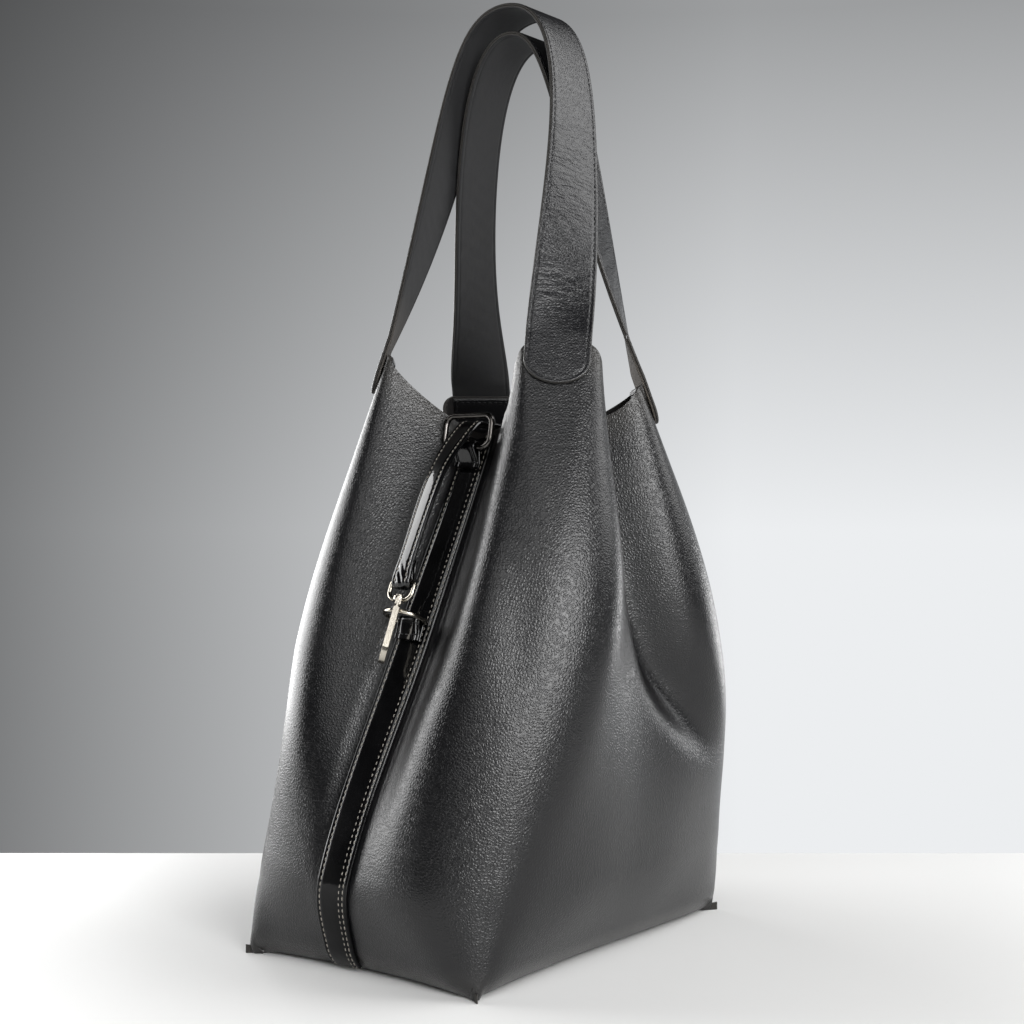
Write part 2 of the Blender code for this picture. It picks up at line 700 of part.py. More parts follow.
def cut_with(piece, name, mesh, operation="DIFFERENCE"):
    """Boolean with a helper shape that is not a piece of the bag."""
    helper = finish(name, mesh, NICKEL)
    helper.hide_render = True
    helper.display_type = "WIRE"
    modifier = piece.modifiers.new(name, "BOOLEAN")
    modifier.object = helper
    modifier.operation = operation
    modifier.solver = "EXACT"


hook_path = [at_hook(hook_half + HOOK_BAR / 2, top_bar)]
hook_path += arc(at_hook(HOOK_CORNER - hook_half, top_bar + HOOK_CORNER), HOOK_CORNER,
                 hook_out, seam_down, -90, -180, 4)
hook_path += arc(at_hook(0, bend_centre), hook_half, hook_out, seam_down, 180, 0, 8)
hook_path.append(at_hook(hook_half, HOOK_TIP))
hook_body = finish("hook_body", square_bar(hook_path), NICKEL, hook)
gate_pivot = at_hook(hook_half, top_bar)
slot_width = GATE_TONGUE + 2 * RUNNING_GAP
pin_hole = GATE_PIN_DIAMETER + 2 * RUNNING_GAP
slot_ends = [box_outline(at_hook(hook_half + b, top_bar), hook_flat, seam_down, slot_width,
                         -HOOK_BAR, HOOK_BAR) for b in (-GATE_BAR, HOOK_BAR)]
cut_with(hook_body, "gate_slot_cutter", sweep(slot_ends))
cut_with(hook_body, "pin_hole_cutter", rod(-HOOK_BAR, HOOK_BAR, hook_flat, gate_pivot, pin_hole))
pin = rod(-HOOK_BAR / 2, HOOK_BAR / 2, hook_flat, gate_pivot, GATE_PIN_DIAMETER)
finish("gate_pin", pin, NICKEL, hook)

gate_shoulder = top_bar + HOOK_BAR / 2 + GATE_BAR / 2
gate_steps = ((top_bar - GATE_BAR / 2, GATE_TONGUE), (gate_shoulder, GATE_TONGUE),
              (gate_shoulder + GAP, HOOK_BAR), (HOOK_TIP - RUNNING_GAP, HOOK_BAR))
gate_sections = [box_outline(at_hook(hook_half, t), hook_flat, hook_out, thick,
                             -GATE_BAR / 2, GATE_BAR / 2) for t, thick in gate_steps]
hook_gate = finish("hook_gate", sweep(gate_sections), NICKEL, gate_pivot)
cut_with(hook_gate, "gate_hole_cutter", rod(-HOOK_BAR, HOOK_BAR, hook_flat, gate_pivot, pin_hole))

barrel_low = top_bar - HOOK_BAR / 2 - RUNNING_GAP
barrel_high = barrel_low - BARREL_LENGTH
eye_low = (barrel_low + barrel_high) / 2
eye_high = eye_low - EYE_INNER_HEIGHT - EYE_WIRE
eye_top = hook + seam_down * eye_high
eye_half = (EYE_INNER_WIDTH + EYE_WIRE) / 2
eye_path = rounded_path(hook, ACROSS, -seam_down, eye_half, -eye_low, -eye_high,
                        (EYE_FOOT_CORNER, EYE_HEAD_CORNER))
hook_eye = finish("hook_eye", wire(eye_path, seam_out, EYE_WIRE, True), NICKEL, eye_top)
barrel = rod(barrel_high, barrel_low, seam_down, hook, BARREL_DIAMETER)
cut_with(hook_eye, "barrel_helper", barrel, "UNION")
post_hole = rod(barrel_high - EYE_WIRE, barrel_low + EYE_WIRE, seam_down, hook,
                POST_DIAMETER + 2 * RUNNING_GAP)
cut_with(hook_eye, "post_hole_cutter", post_hole)
head_low = barrel_high - RUNNING_GAP
post_steps = ((barrel_low + RUNNING_GAP - GAP, POST_DIAMETER), (head_low, POST_DIAMETER),
              (head_low, POST_HEAD_DIAMETER), (head_low - POST_HEAD, POST_HEAD_DIAMETER))
post_sections = [round_outline(hook + seam_down * t, ACROSS, seam_out, d) for t, d in post_steps]
finish("swivel_post", sweep(post_sections), NICKEL, hook)

# Closure strap: sewn inside the back rim, over the mouth, through the slot ring, down to the eye
strap_x = hook.x
half_strap = CLOSURE_THICKNESS / 2
wrap = EYE_WIRE / 2 + GAP + half_strap
ANCHOR_LIFT = WALL + 2 * GAP + half_strap


def inside_back(below, lift):
    """Point inside the back wall, in the plane of the strap, below the rim."""
    share = 1 - below / FRONT_RIM_HEIGHT
    place = wall_point(2.0, share) - wall_normal(2.0, share) * lift
    return Vector((strap_x, place.y, place.z))


rim_front = wall_point(0.0, 1.0)
rim_back = wall_point(2.0, 1.0)
over_rim = half_strap + 2 * GAP
rim_reach = CLOSURE_WIDTH / 2 + abs(strap_x - rim_front.x) + GAP
rim_crossing = wall_point(turn_beside(0.0, 1.0, -rim_reach), 1.0).z + over_rim
ring_middle = slot_bar + slot_up * ((SLOT_RING_HEIGHT - SLOT_RING_WIRE) * SLOT_PASS_SHARE)
low_run = eye_top + seam_out * wrap - seam_down * CLOSURE_FOLD
bow_place, bow_out, _ = seam_frame((FRONT_RIM_HEIGHT + low_run.z) / 2)
crossing = [inside_back(CLOSURE_ANCHOR, ANCHOR_LIFT), inside_back(CLOSURE_ANCHOR / 2, ANCHOR_LIFT),
            inside_back(WALL, ANCHOR_LIFT),
            Vector((0, rim_back.y / 2, rim_back.z + CLOSURE_SAG)),
            Vector((0, 0, rim_front.z + CLOSURE_SAG)),
            Vector((0, rim_front.y + WALL / 2, rim_crossing)), ring_middle,
            bow_place + bow_out * (d_lift + CLOSURE_BOW / 2), low_run,
            eye_top + seam_out * wrap]
path = smooth_path(crossing, CLOSURE_STEPS)
fold = len(path)
path += arc(eye_top, wrap, seam_out, seam_down, 20, 180, 7)
fold_end = low_run - seam_out * (CLOSURE_THICKNESS + GAP)
path += [eye_top - seam_out * wrap - seam_down * half_strap, fold_end + seam_down * CLOSURE_PINCH, fold_end]
path = [Vector((strap_x, p.y, p.z)) for p in path]
narrow = fold - CLOSURE_STEPS - CLOSURE_STEPS // 2
widths = [CLOSURE_WIDTH if k < narrow else CLOSURE_END_WIDTH for k in range(len(path))]
finish("closure_strap", ribbon(path, widths, CLOSURE_THICKNESS), PATENT)
PATCH_LIFT = ANCHOR_LIFT + half_strap + GAP + PATCH_THICKNESS / 2
patch_path = [inside_back(CLOSURE_ANCHOR * part, PATCH_LIFT) for part in ANCHOR_PATCH_SHARES]
patch_mesh = ribbon(patch_path, [STRIP_WIDTH] * len(patch_path), PATCH_THICKNESS)
finish("closure_anchor_patch", patch_mesh, LEATHER)
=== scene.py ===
import json
import math
from collections import namedtuple

import bmesh
import bpy
import numpy as np
from mathutils import Matrix, Vector


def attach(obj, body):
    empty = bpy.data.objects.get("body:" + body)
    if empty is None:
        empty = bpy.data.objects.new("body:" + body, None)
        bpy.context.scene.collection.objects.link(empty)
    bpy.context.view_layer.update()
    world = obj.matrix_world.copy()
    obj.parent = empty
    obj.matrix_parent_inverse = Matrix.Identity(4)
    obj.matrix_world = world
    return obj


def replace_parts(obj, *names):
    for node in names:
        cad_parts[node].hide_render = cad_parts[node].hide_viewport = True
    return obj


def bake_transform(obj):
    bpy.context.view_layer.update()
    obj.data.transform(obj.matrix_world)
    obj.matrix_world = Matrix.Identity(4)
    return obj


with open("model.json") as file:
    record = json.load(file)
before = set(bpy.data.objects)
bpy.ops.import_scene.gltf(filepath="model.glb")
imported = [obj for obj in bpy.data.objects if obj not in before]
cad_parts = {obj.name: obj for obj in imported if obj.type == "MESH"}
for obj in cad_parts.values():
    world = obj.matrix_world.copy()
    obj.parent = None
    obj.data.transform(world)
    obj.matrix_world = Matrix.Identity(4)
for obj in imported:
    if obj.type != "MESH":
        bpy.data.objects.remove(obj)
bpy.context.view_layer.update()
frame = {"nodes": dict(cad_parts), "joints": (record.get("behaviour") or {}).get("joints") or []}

# Body panels: two hides of soft black calf, cut to four peaks and sewn together at front and back.
# They are unlined, so the inside is the bare flesh side and the rim is a cut, dyed edge.
# The leather hangs from the peaks in soft folds, is drawn in at the seams and rolls in at the foot.
WALL = 0.002
WALL_FOOT = 0.0028
BASE_WIDTH = 0.152
BASE_DEPTH = 0.234
PEAK_HEIGHT = 0.325
BACK_PEAK_DROP = 0.017
FRONT_RIM_HEIGHT = 0.281
SIDE_RIM_HEIGHT = 0.286
RIM_EASE = 0.5
SHARES = np.array((0.0, 0.17, 0.60, 1.0))
CORNER_X = (BASE_WIDTH / 2, BASE_WIDTH / 2 + 0.002, 0.078)
CORNER_Y = (BASE_DEPTH / 2, BASE_DEPTH / 2 - 0.002, 0.084)
FRONT_Y = (BASE_DEPTH / 2, BASE_DEPTH / 2 + 0.011, 0.084, 0.031)
SIDE_X = (BASE_WIDTH / 2, BASE_WIDTH / 2 + 0.016, 0.087, 0.068)
FRONT_REACH = (0.015, 0.044, 0.042, 0.009)
SIDE_REACH = (0.012, 0.024, 0.052, 0.012)
FLATNESS = (0.70, 0.44, 0.44, 0.45)
SEAM_TILT = (0.0, 0.08, 0.26, 0.0)
BASE_CORNER_TURN = math.radians(45.0)
# Each peak from the front right, round to the front left: its half span across and in depth, its facing, how
# far the leather stands out towards the seam low down, higher up and towards the side, its slope at the seam,
# and how far its foot is drawn in
Peak = namedtuple("Peak", "across depth facing low_stand high_stand side_stand slope drawn")
PEAKS = (Peak(0.060, 0.044, math.radians(37.0), 1.0, 1.0, 1.0, 1, 0.0),
         Peak(0.056, 0.039, math.radians(50.0), 0.8, 0.8, 0.9, 0, 0.007),
         Peak(0.060, 0.044, math.radians(37.0), 0.8, 0.8, 0.9, 0, 0.0),
         Peak(0.057, 0.044, math.radians(51.0), 0.45, 1.05, 0.9, -1, 0.0))
DRAWN_SHARES = (0.1, 0.5)
STAND_SHARES = (0.12, 0.45)
CORNER_LOCAL = 0.40
TAB_LOCAL = 0.04
HALF_TAB_BASE = 0.0015
HALF_TAB_PEAK = 0.018
SIDE_CREASE = 0.026
CREASE_WIDTH = 0.015
CREASE_START = 0.30
CREASE_PINCH = 0.22
CREASE_BITE = 0.6
CREASE_SPREAD = 0.6
CREASE_DRIFT = 0.215
TOP_LEAN = 0.013
SEAM_SHIFT = (-0.011, -0.011, -0.003, 0.0)
SEAM_GAP = 0.0004
QUARTER_RUN = 0.19
SEAM_STEP = 0.01
FOOT_ROLL = 0.011
CORNER_ROLL = 0.001
CORNER_SPREAD = 0.05
ROLL_FOOT = 0.0008
FLAT_SEAM = 0.010
SEAM_SPREAD = 0.009


def through(values, share):
    """Smooth value at a height share, through the base, belly, waist and rim values."""
    values = np.asarray(values)
    low, high = np.array((0, 0, 1, 2)), np.array((1, 2, 3, 3))
    slopes = (values[high] - values[low]) / (SHARES[high] - SHARES[low])
    span = np.clip(np.searchsorted(SHARES, share, "right") - 1, 0, 2)
    step = SHARES[span + 1] - SHARES[span]
    t = (share - SHARES[span]) / step
    start = (2 * t + 1) * (t - 1) ** 2
    lead = t * (t - 1) ** 2 * step * slopes[span]
    trail = t * t * (t - 1) * step * slopes[span + 1]
    return start * values[span] + lead + (1 - start) * values[span + 1] + trail


def bezier(points, t):
    a, b, c, d = points
    return (a * (1 - t) ** 3 + b * 3 * t * (1 - t) ** 2
            + c * 3 * t * t * (1 - t) + d * t ** 3)


def smooth_step(low, high, value):
    t = np.clip((value - low) / (high - low), 0, 1)
    return t * t * (3 - 2 * t)


def unit(vectors):
    return vectors / np.linalg.norm(vectors, axis=-1, keepdims=True)


def peak_height(turn):
    turn = np.asarray(turn) % 4.0
    return PEAK_HEIGHT - np.where((turn > 1) & (turn < 3), BACK_PEAK_DROP, 0.0)


def seam_local(turn):
    """Share of a quarter from the nearest seam, 0, to the middle of the side, 1."""
    turn = np.asarray(turn, float)
    return np.minimum(turn % 2.0, 2.0 - turn % 2.0)


def rim_height(turn):
    local = seam_local(turn)
    away = np.maximum(np.abs(local - CORNER_LOCAL) - TAB_LOCAL, 0.0)
    at_front = local < CORNER_LOCAL
    fall = away / np.where(at_front, CORNER_LOCAL - TAB_LOCAL, 1 - CORNER_LOCAL - TAB_LOCAL)
    low = np.where(at_front, FRONT_RIM_HEIGHT, SIDE_RIM_HEIGHT)
    ease = fall + (fall * fall * (3 - 2 * fall) - fall) * RIM_EASE
    return peak_height(turn) + (low - peak_height(turn)) * ease


def quarter(local, share, peak):
    """Outer face of one quarter in plan: local 0 is the seam, 1 the middle of the side."""
    local = local[:, None]
    zero = np.zeros_like(share)
    corner_x = through(CORNER_X + (peak.across,), share)
    corner_x = corner_x - peak.drawn * (1 - smooth_step(*DRAWN_SHARES, share))
    corner_y = through(CORNER_Y + (peak.depth,), share)
    corner = np.stack((corner_x, -corner_y), -1)
    seam = np.stack((zero, -through(FRONT_Y, share)), -1)
    side = np.stack((through(SIDE_X, share), zero), -1)
    turn = BASE_CORNER_TURN + (peak.facing - BASE_CORNER_TURN) * share
    along = np.stack((np.cos(turn), np.sin(turn)), -1)
    flat = through(FLATNESS, share)
    tab = along * (HALF_TAB_BASE + (HALF_TAB_PEAK - HALF_TAB_BASE) * share ** 3)[:, None]
    start, end = CORNER_LOCAL - TAB_LOCAL, CORNER_LOCAL + TAB_LOCAL
    stand = peak.low_stand + (peak.high_stand - peak.low_stand) * smooth_step(*STAND_SHARES, share)
    reach = along * (stand * through(FRONT_REACH, share))[:, None]
    lead = stand * flat * corner_x
    from_seam = np.stack((lead, peak.slope * lead * through(SEAM_TILT, share)), -1)
    front = bezier((seam, seam + from_seam, corner - tab - reach, corner - tab), local / start)
    middle = corner + tab * ((local - CORNER_LOCAL) / TAB_LOCAL)
    reach = along * (peak.side_stand * through(SIDE_REACH, share))[:, None]
    to_side = np.stack((zero, -flat * corner_y), -1)
    flank = bezier((corner + tab, corner + tab + reach, side + to_side, side), (local - end) / (1 - end))
    return np.where(local < start, front, np.where(local <= end, middle, flank))


def wall(turn, share):
    """Outer face of the wall. Turn 0 is the front seam, 1 the right side, 2 the back seam."""
    turn, share = np.broadcast_arrays(np.asarray(turn, float) % 4.0, np.asarray(share, float))
    local = seam_local(turn)
    plan = np.zeros(turn.shape + (2,))
    for k, peak in enumerate(PEAKS):
        pick = turn.astype(int) == k
        plan[pick] = quarter(local[pick], share[pick], peak)
    shift = np.maximum(0.0, 1 - local / (CORNER_LOCAL - TAB_LOCAL)) ** 2
    x = np.where(turn <= 2, plan[..., 0], -plan[..., 0])
    y = np.where((turn < 1) | (turn > 3), plan[..., 1], -plan[..., 1])
    climb = np.maximum(0.0, (share - CREASE_START) / (1 - CREASE_START))
    bite = smooth_step(CREASE_START, CREASE_START + CREASE_PINCH, share)
    pinch = CREASE_BITE * bite + (1 - CREASE_BITE) * climb
    width = CREASE_WIDTH * (1 + CREASE_SPREAD * (1 - share) ** 2)
    trough = np.exp(-((y - CREASE_DRIFT * (1 - share) ** 3) / width) ** 2)
    flank = np.where(local > CORNER_LOCAL + TAB_LOCAL, np.sign(x), 0)
    x = x - flank * SIDE_CREASE * pinch * trough
    x = x + TOP_LEAN * (1 - (1 - share) ** 2) + through(SEAM_SHIFT, share) * shift
    z = WALL_FOOT + (rim_height(turn) - WALL_FOOT) * share
    return np.stack((x, y, z), -1)


def facing_out(surface, turn, share, step=0.002):
    around = surface(turn + step, share) - surface(turn - step, share)
    low = np.minimum(share, 1 - step)
    return unit(np.cross(around, surface(turn, low + step) - surface(turn, low)))


def rolled(turn, share):
    """The wall with its foot rolled in under the bag, tighter at the four corners."""
    place = wall(turn, share)
    level = facing_out(wall, turn, share)
    level[..., 2] = 0
    near_corner = np.exp(-((seam_local(turn) - CORNER_LOCAL) / CORNER_SPREAD) ** 2)
    radius = FOOT_ROLL + (CORNER_ROLL - FOOT_ROLL) * near_corner
    drop = np.clip(1 - (place[..., 2] - WALL_FOOT) / radius, 0, 1)
    inset = radius * (1 - np.sqrt(1 - drop * drop))
    place = place - unit(level) * inset[..., None]
    place[..., 2] -= (WALL_FOOT - ROLL_FOOT) * drop * drop
    return place


# Lines down the front and back seams, with the ways across them and out of them
seam_shares = np.linspace(0, 1, 300)
seam_lines = []
for seam in (0.0, 2.0):
    across_seam = unit(rolled(seam + SEAM_STEP, seam_shares) - rolled(seam - SEAM_STEP, seam_shares))
    seam_lines.append((rolled(seam, seam_shares), across_seam, facing_out(rolled, seam, seam_shares)))


def along_line(place, places, line):
    """Points of a line at places along it."""
    return np.stack([np.interp(place, places, line[:, k]) for k in range(3)], -1)


def run_length(points, axis):
    """Distance of each point along its line of points."""
    first = np.take(points, (0,), axis)
    return np.cumsum(np.linalg.norm(np.diff(points, axis=axis, prepend=first), axis=-1), axis=axis)


def pressed(turn, share):
    """The wall pressed flat along its seams, where the strips are sewn on."""
    place = rolled(turn, share)
    at_back = (np.round(np.asarray(turn) / 2) % 2 == 1)[..., None]
    middle, side, out = [np.where(at_back, *[along_line(share, seam_shares, line) for line in (back, front)])
                         for front, back in zip(*seam_lines)]
    offset = ((place - middle) * side).sum(-1)
    rise = ((place - middle) * out).sum(-1)
    flat = 1 - smooth_step(FLAT_SEAM, FLAT_SEAM + SEAM_SPREAD, np.abs(offset))
    return place - out * (rise * flat * (seam_local(turn) < CORNER_LOCAL / 2))[..., None]


# Folds left by the hanging weight: turn and share of both ends, half width and height off the wall
FOLDS = (((0.35, 1.05), (0.37, 0.42), 0.010, -0.0020), ((0.28, 1.05), (0.27, 0.42), 0.012, 0.0024),
         ((0.30, 0.72), (0.10, 0.10), 0.018, 0.0055), ((3.6, 0.0), (3.6, 0.5), 0.035, -0.0030),
         ((0.4, -0.1), (0.4, 0.12), 0.016, 0.0018), ((1.6, -0.1), (1.6, 0.12), 0.014, 0.0016),
         ((2.4, -0.1), (2.4, 0.12), 0.014, 0.0016), ((3.6, -0.1), (3.6, 0.12), 0.012, 0.0030))
# Shallow waves of the hanging leather: radians for each turn and each share, its start and its weight
WAVES = ((9.1, 3.3, 0.4, 0.5), (23.0, -6.1, 2.0, 0.3), (5.0, 14.5, 1.1, 0.4))
WAVE_HEIGHT = 0.0006


def folded(place):
    """Height of the folds, in metres off the wall."""
    height = np.zeros(place.shape[:-1])
    for start, end, width, depth in FOLDS:
        first, last = wall(*start), wall(*end)
        run = last - first
        part = np.clip((place - first) @ run / (run @ run), 0, 1)
        gap = np.linalg.norm(place - first - part[..., None] * run, axis=-1)
        height += depth * np.sin(math.pi * part) * np.exp(-(gap / width) ** 2)
    return height


def slackness(turn, share):
    """Height of the waves, in metres off the wall, still at seams, foot and rim."""
    free = smooth_step(0.05, 0.2, seam_local(turn)) * smooth_step(0.02, 0.12, share)
    free = free * (1 - smooth_step(0.8, 0.95, share))
    waves = sum(weight * np.sin(around * turn + up * share + start) for around, up, start, weight in WAVES)
    return WAVE_HEIGHT * waves * free


def skin(turn, share, lift=0.0):
    """Point on the finished leather, or lifted off it along its normal."""
    turn, share, lift = np.broadcast_arrays(np.asarray(turn, float), share, lift)
    normal = facing_out(pressed, turn, share)
    place = pressed(turn, share)
    return place + normal * (slackness(turn, share) + folded(place) + lift)[..., None]


SHARP_EDGE = math.radians(50)


def new_piece(name, mesh, *finishes):
    """Puts a mesh in the scene as one object, with its materials."""
    for finish in finishes:
        mesh.materials.append(finish)
    piece = bpy.data.objects.new(name, mesh)
    bpy.context.scene.collection.objects.link(piece)
    return piece


def sheet_mesh(name, outer, inner, uv, finishes, **fields):
    """Closed sheet between two equal grids. Finishes are for the face, the cut edge and the back."""
    rows, columns = outer.shape[:2]
    count = rows * columns
    spot = np.arange(count).reshape(rows, columns)
    quads = np.stack((spot[:-1, :-1], spot[:-1, 1:], spot[1:, 1:], spot[1:, :-1]), -1).reshape(-1, 4)
    loop = np.concatenate((spot[0, ::-1], spot[1:, 0], spot[-1, 1:], spot[-2:0:-1, -1]))
    after = np.roll(loop, -1)
    edge = np.stack((loop, after, after + count, loop + count), -1)
    faces = np.concatenate((quads, edge, quads[:, ::-1] + count))
    mesh = bpy.data.meshes.new(name)
    mesh.from_pydata(np.concatenate((outer, inner)).reshape(-1, 3), [], faces.tolist())
    corners = np.zeros(len(mesh.loops), np.int32)
    mesh.loops.foreach_get("vertex_index", corners)
    both = np.concatenate((uv.reshape(-1, 2), uv.reshape(-1, 2)))
    mesh.uv_layers.new(name="leather_metres").data.foreach_set("uv", both[corners].astype(np.float32).ravel())
    for label, values in fields.items():
        values = np.broadcast_to(values, (rows, columns)).ravel()
        attribute = mesh.attributes.new(label, "FLOAT", "POINT")
        attribute.data.foreach_set("value", np.concatenate((values, values)).astype(np.float32))
    slots = np.repeat((0, 1, 2), (len(quads), len(edge), len(quads)))
    piece = new_piece(name, mesh, *finishes)
    mesh.polygons.foreach_set("material_index", slots.astype(np.int32))
    mesh.shade_smooth()
    mesh.set_sharp_from_angle(angle=SHARP_EDGE)
    return piece


def soften_edges(piece, width, segments=2, angle=SHARP_EDGE):
    """Rubs the sharp cut edges of a piece round."""
    bevel = piece.modifiers.new("rubbed_edges", "BEVEL")
    bevel.width = width
    bevel.segments = segments
    bevel.limit_method = "ANGLE"
    bevel.angle_limit = angle
    bevel.harden_normals = False


def tint(code):
    """Linear colour from an sRGB hex value."""
    parts = [int(code[k:k + 2], 16) / 255 for k in (1, 3, 5)]
    return (*[c / 12.92 if c <= 0.04045 else ((c + 0.055) / 1.055) ** 2.4 for c in parts], 1.0)


def feed(tree, node, inputs):
    """Fills or links the inputs of a node."""
    for socket, value in inputs.items():
        if isinstance(value, bpy.types.NodeSocket):
            tree.links.new(value, node.inputs[socket])
        else:
            node.inputs[socket].default_value = value


def add(tree, kind, inputs, **settings):
    """Adds one node with its settings, and fills or links its inputs."""
    node = tree.nodes.new(kind)
    for label, value in settings.items():
        setattr(node, label, value)
    feed(tree, node, inputs)
    return node


def new_finish(name):
    """New material, with its node tree, its shader and the piece's own coordinates."""
    material = bpy.data.materials.new(name)
    material.use_nodes = True
    tree = material.node_tree
    space = add(tree, "ShaderNodeTexCoord", {}).outputs["Object"]
    return material, tree, tree.nodes["Principled BSDF"], space


def two_tones(tree, space, size, detail, dark, light):
    """Cloudy pattern of a size in metres, and the drift between two colours that follows it."""
    cloud = add(tree, "ShaderNodeTexNoise", {"Vector": space, "Scale": 1 / size, "Detail": detail})
    shade = add(tree, "ShaderNodeMix", {"Factor": cloud.outputs["Fac"], "A": tint(dark), "B": tint(light)},
                data_type="RGBA")
    return cloud.outputs["Fac"], shade.outputs["Result"]


# Sizes of the marks on the hide, in metres: bends in the pebble, pores, creases where it is pulled, and
# clouds of tone left by the dye
PEBBLE_BEND, PEBBLE_SHIFT = 0.006, 0.0012
PORE = 0.0007
PULL_CREASE = (0.009, 0.0026)
DYE_CLOUD = 0.045


def pebbled_leather(name, dark, light, worn, grain, wrinkle_depth):
    """Drum-dyed calf, milled to a fine pebble: semi-matt, with a glint on the tops of the grains.

    Pulled stretches, marked by the pull attribute, show creases across the pull. Where the wear attribute
    is set the colour is a little paler: rubbed edges, and along the rolled foot of the walls a painted
    reflection of the table.
    """
    material, tree, shader, space = new_finish(name)
    warp = add(tree, "ShaderNodeTexNoise", {"Vector": space, "Scale": 1 / PEBBLE_BEND, "Detail": 2.0})
    bent = add(tree, "ShaderNodeVectorMath", {0: warp.outputs["Color"], 1: (PEBBLE_SHIFT,) * 3, 2: space},
               operation="MULTIPLY_ADD")
    cells = add(tree, "ShaderNodeTexVoronoi", {"Vector": bent.outputs[0], "Scale": 1 / grain},
                feature="DISTANCE_TO_EDGE")
    pebble = add(tree, "ShaderNodeMapRange", {"Value": cells.outputs["Distance"], "From Max": 0.35},
                 interpolation_type="SMOOTHSTEP")
    pores = add(tree, "ShaderNodeTexNoise", {"Vector": space, "Scale": 1 / PORE, "Detail": 3.0})
    height = add(tree, "ShaderNodeMath", {0: pores.outputs["Fac"], 1: 0.2, 2: pebble.outputs[0]},
                 operation="MULTIPLY_ADD")
    grain_bump = add(tree, "ShaderNodeBump", {"Height": height.outputs[0], "Strength": 0.7,
                                              "Distance": 0.00013})
    flat = add(tree, "ShaderNodeUVMap", {}, uv_map="leather_metres")
    across_pull = add(tree, "ShaderNodeMapping", {"Vector": flat.outputs[0],
                                                  "Scale": (1 / PULL_CREASE[0], 1 / PULL_CREASE[1], 1)})
    creases = add(tree, "ShaderNodeTexNoise", {"Vector": across_pull.outputs[0], "Scale": 1.0, "Detail": 3.0,
                                               "Distortion": 0.6})
    pull = add(tree, "ShaderNodeAttribute", {}, attribute_name="pull")
    pulled = add(tree, "ShaderNodeMath", {0: creases.outputs["Fac"], 1: pull.outputs["Fac"]},
                 operation="MULTIPLY")
    crease_bump = add(tree, "ShaderNodeBump", {"Height": pulled.outputs[0], "Strength": 0.8,
                                               "Distance": wrinkle_depth, "Normal": grain_bump.outputs[0]})
    broad, shade = two_tones(tree, space, DYE_CLOUD, 3.0, dark, light)
    # Paler speckle by the wear attribute: rubbed edges, and a painted reflection of the table at the foot
    wear = add(tree, "ShaderNodeAttribute", {}, attribute_name="wear")
    rubbed = add(tree, "ShaderNodeMath", {0: wear.outputs["Fac"], 1: pores.outputs["Fac"]},
                 operation="MULTIPLY")
    coat = add(tree, "ShaderNodeMix", {"Factor": rubbed.outputs[0], "A": shade, "B": tint(worn)},
               data_type="RGBA")
    gloss = add(tree, "ShaderNodeMapRange", {"Value": broad, "To Min": 0.26, "To Max": 0.36})
    feed(tree, shader, {"Base Color": coat.outputs["Result"], "Roughness": gloss.outputs[0],
                        "Normal": crease_bump.outputs[0]})
    return material


def suede_back(name, dark, light):
    """Flesh side of the hide: buffed, fibrous, quite matt."""
    material, tree, shader, space = new_finish(name)
    nap, shade = two_tones(tree, space, 0.0012, 5.0, dark, light)
    bump = add(tree, "ShaderNodeBump", {"Height": nap, "Strength": 0.6, "Distance": 0.0003})
    feed(tree, shader, {"Base Color": shade, "Roughness": 0.92, "Normal": bump.outputs[0]})
    return material


# Its third colour is the paler tone of rubbed edges, also painted along the foot as a reflection of the table
BODY_LEATHER = pebbled_leather("black_milled_calf", "#09090b", "#111113", "#3a3835", grain=0.0015,
                               wrinkle_depth=0.0006)
FLESH_SIDE = suede_back("suede_flesh_side", "#1a1919", "#2b2928")
CUT_EDGE = suede_back("dyed_cut_edge", "#1c1b1a", "#3d3a36")
HIDE = (BODY_LEATHER, CUT_EDGE, FLESH_SIDE)


def hang_panel(name, first):
    """One hide, from the front seam round the right side, or from the back seam round the left."""
    start, end = CORNER_LOCAL - TAB_LOCAL, CORNER_LOCAL + TAB_LOCAL
    to_peak = np.linspace(0, start, 40, endpoint=False)
    over_peak = np.linspace(start, end, 12, endpoint=False)
    to_side = end + (1 - end) * np.sin(np.linspace(0, math.pi / 2, 56))
    locals_ = np.concatenate((to_peak, over_peak, to_side))
    turn = first + np.concatenate((locals_, 2 - locals_[-2::-1]))
    seam_turn = SEAM_GAP / 2 / QUARTER_RUN
    turn[0] += seam_turn
    turn[-1] -= seam_turn
    roll = FOOT_ROLL * (1 - np.cos(np.linspace(0, math.pi / 2, 9, endpoint=False))) / FRONT_RIM_HEIGHT
    rise = np.linspace(FOOT_ROLL / FRONT_RIM_HEIGHT, 1, 110)
    share = np.concatenate((roll, rise))[:, None]
    turn = turn[None, :]
    outer = skin(turn, share)
    inner = skin(turn, share, -WALL)
    uv = np.stack((run_length(outer, 1), outer[..., 2]), -1)
    pull = 0.12 + 0.2 * smooth_step(0.6, 1.0, share + 0 * turn)
    # Paler at the rim where rubbed; along the rolled foot, at half strength, a painted reflection of the
    # table
    wear = smooth_step(0.93, 1.0, share) + 0.5 * (1 - smooth_step(0.0, 0.05, share)) + 0 * turn
    panel = sheet_mesh(name, outer, inner, uv, HIDE, pull=pull, wear=wear)
    soften_edges(panel, 0.0006)
    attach(panel, "bag")
    return panel


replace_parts(hang_panel("right_hide", 0.0), "right_body_panel")
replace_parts(hang_panel("left_hide", 2.0), "left_body_panel")

# Base: a leather panel under the walls, pinched out into a small ear at each corner, its edge left raw.
# A stiff board covered in woven cloth lies loose on it, inside the bag.
BASE_THICKNESS = 0.0025
BASE_INSET = 0.0140
BASE_CORNER_INSET = 0.0030
EAR_REACH = 0.0050
EAR_LOCAL = 0.035
EAR_RISE = 0.0022
BOARD_INSET = 0.0155
BOARD_CORNER_INSET = 0.0090
BOARD_FOOT = 0.0028
BOARD_THICKNESS = 0.002


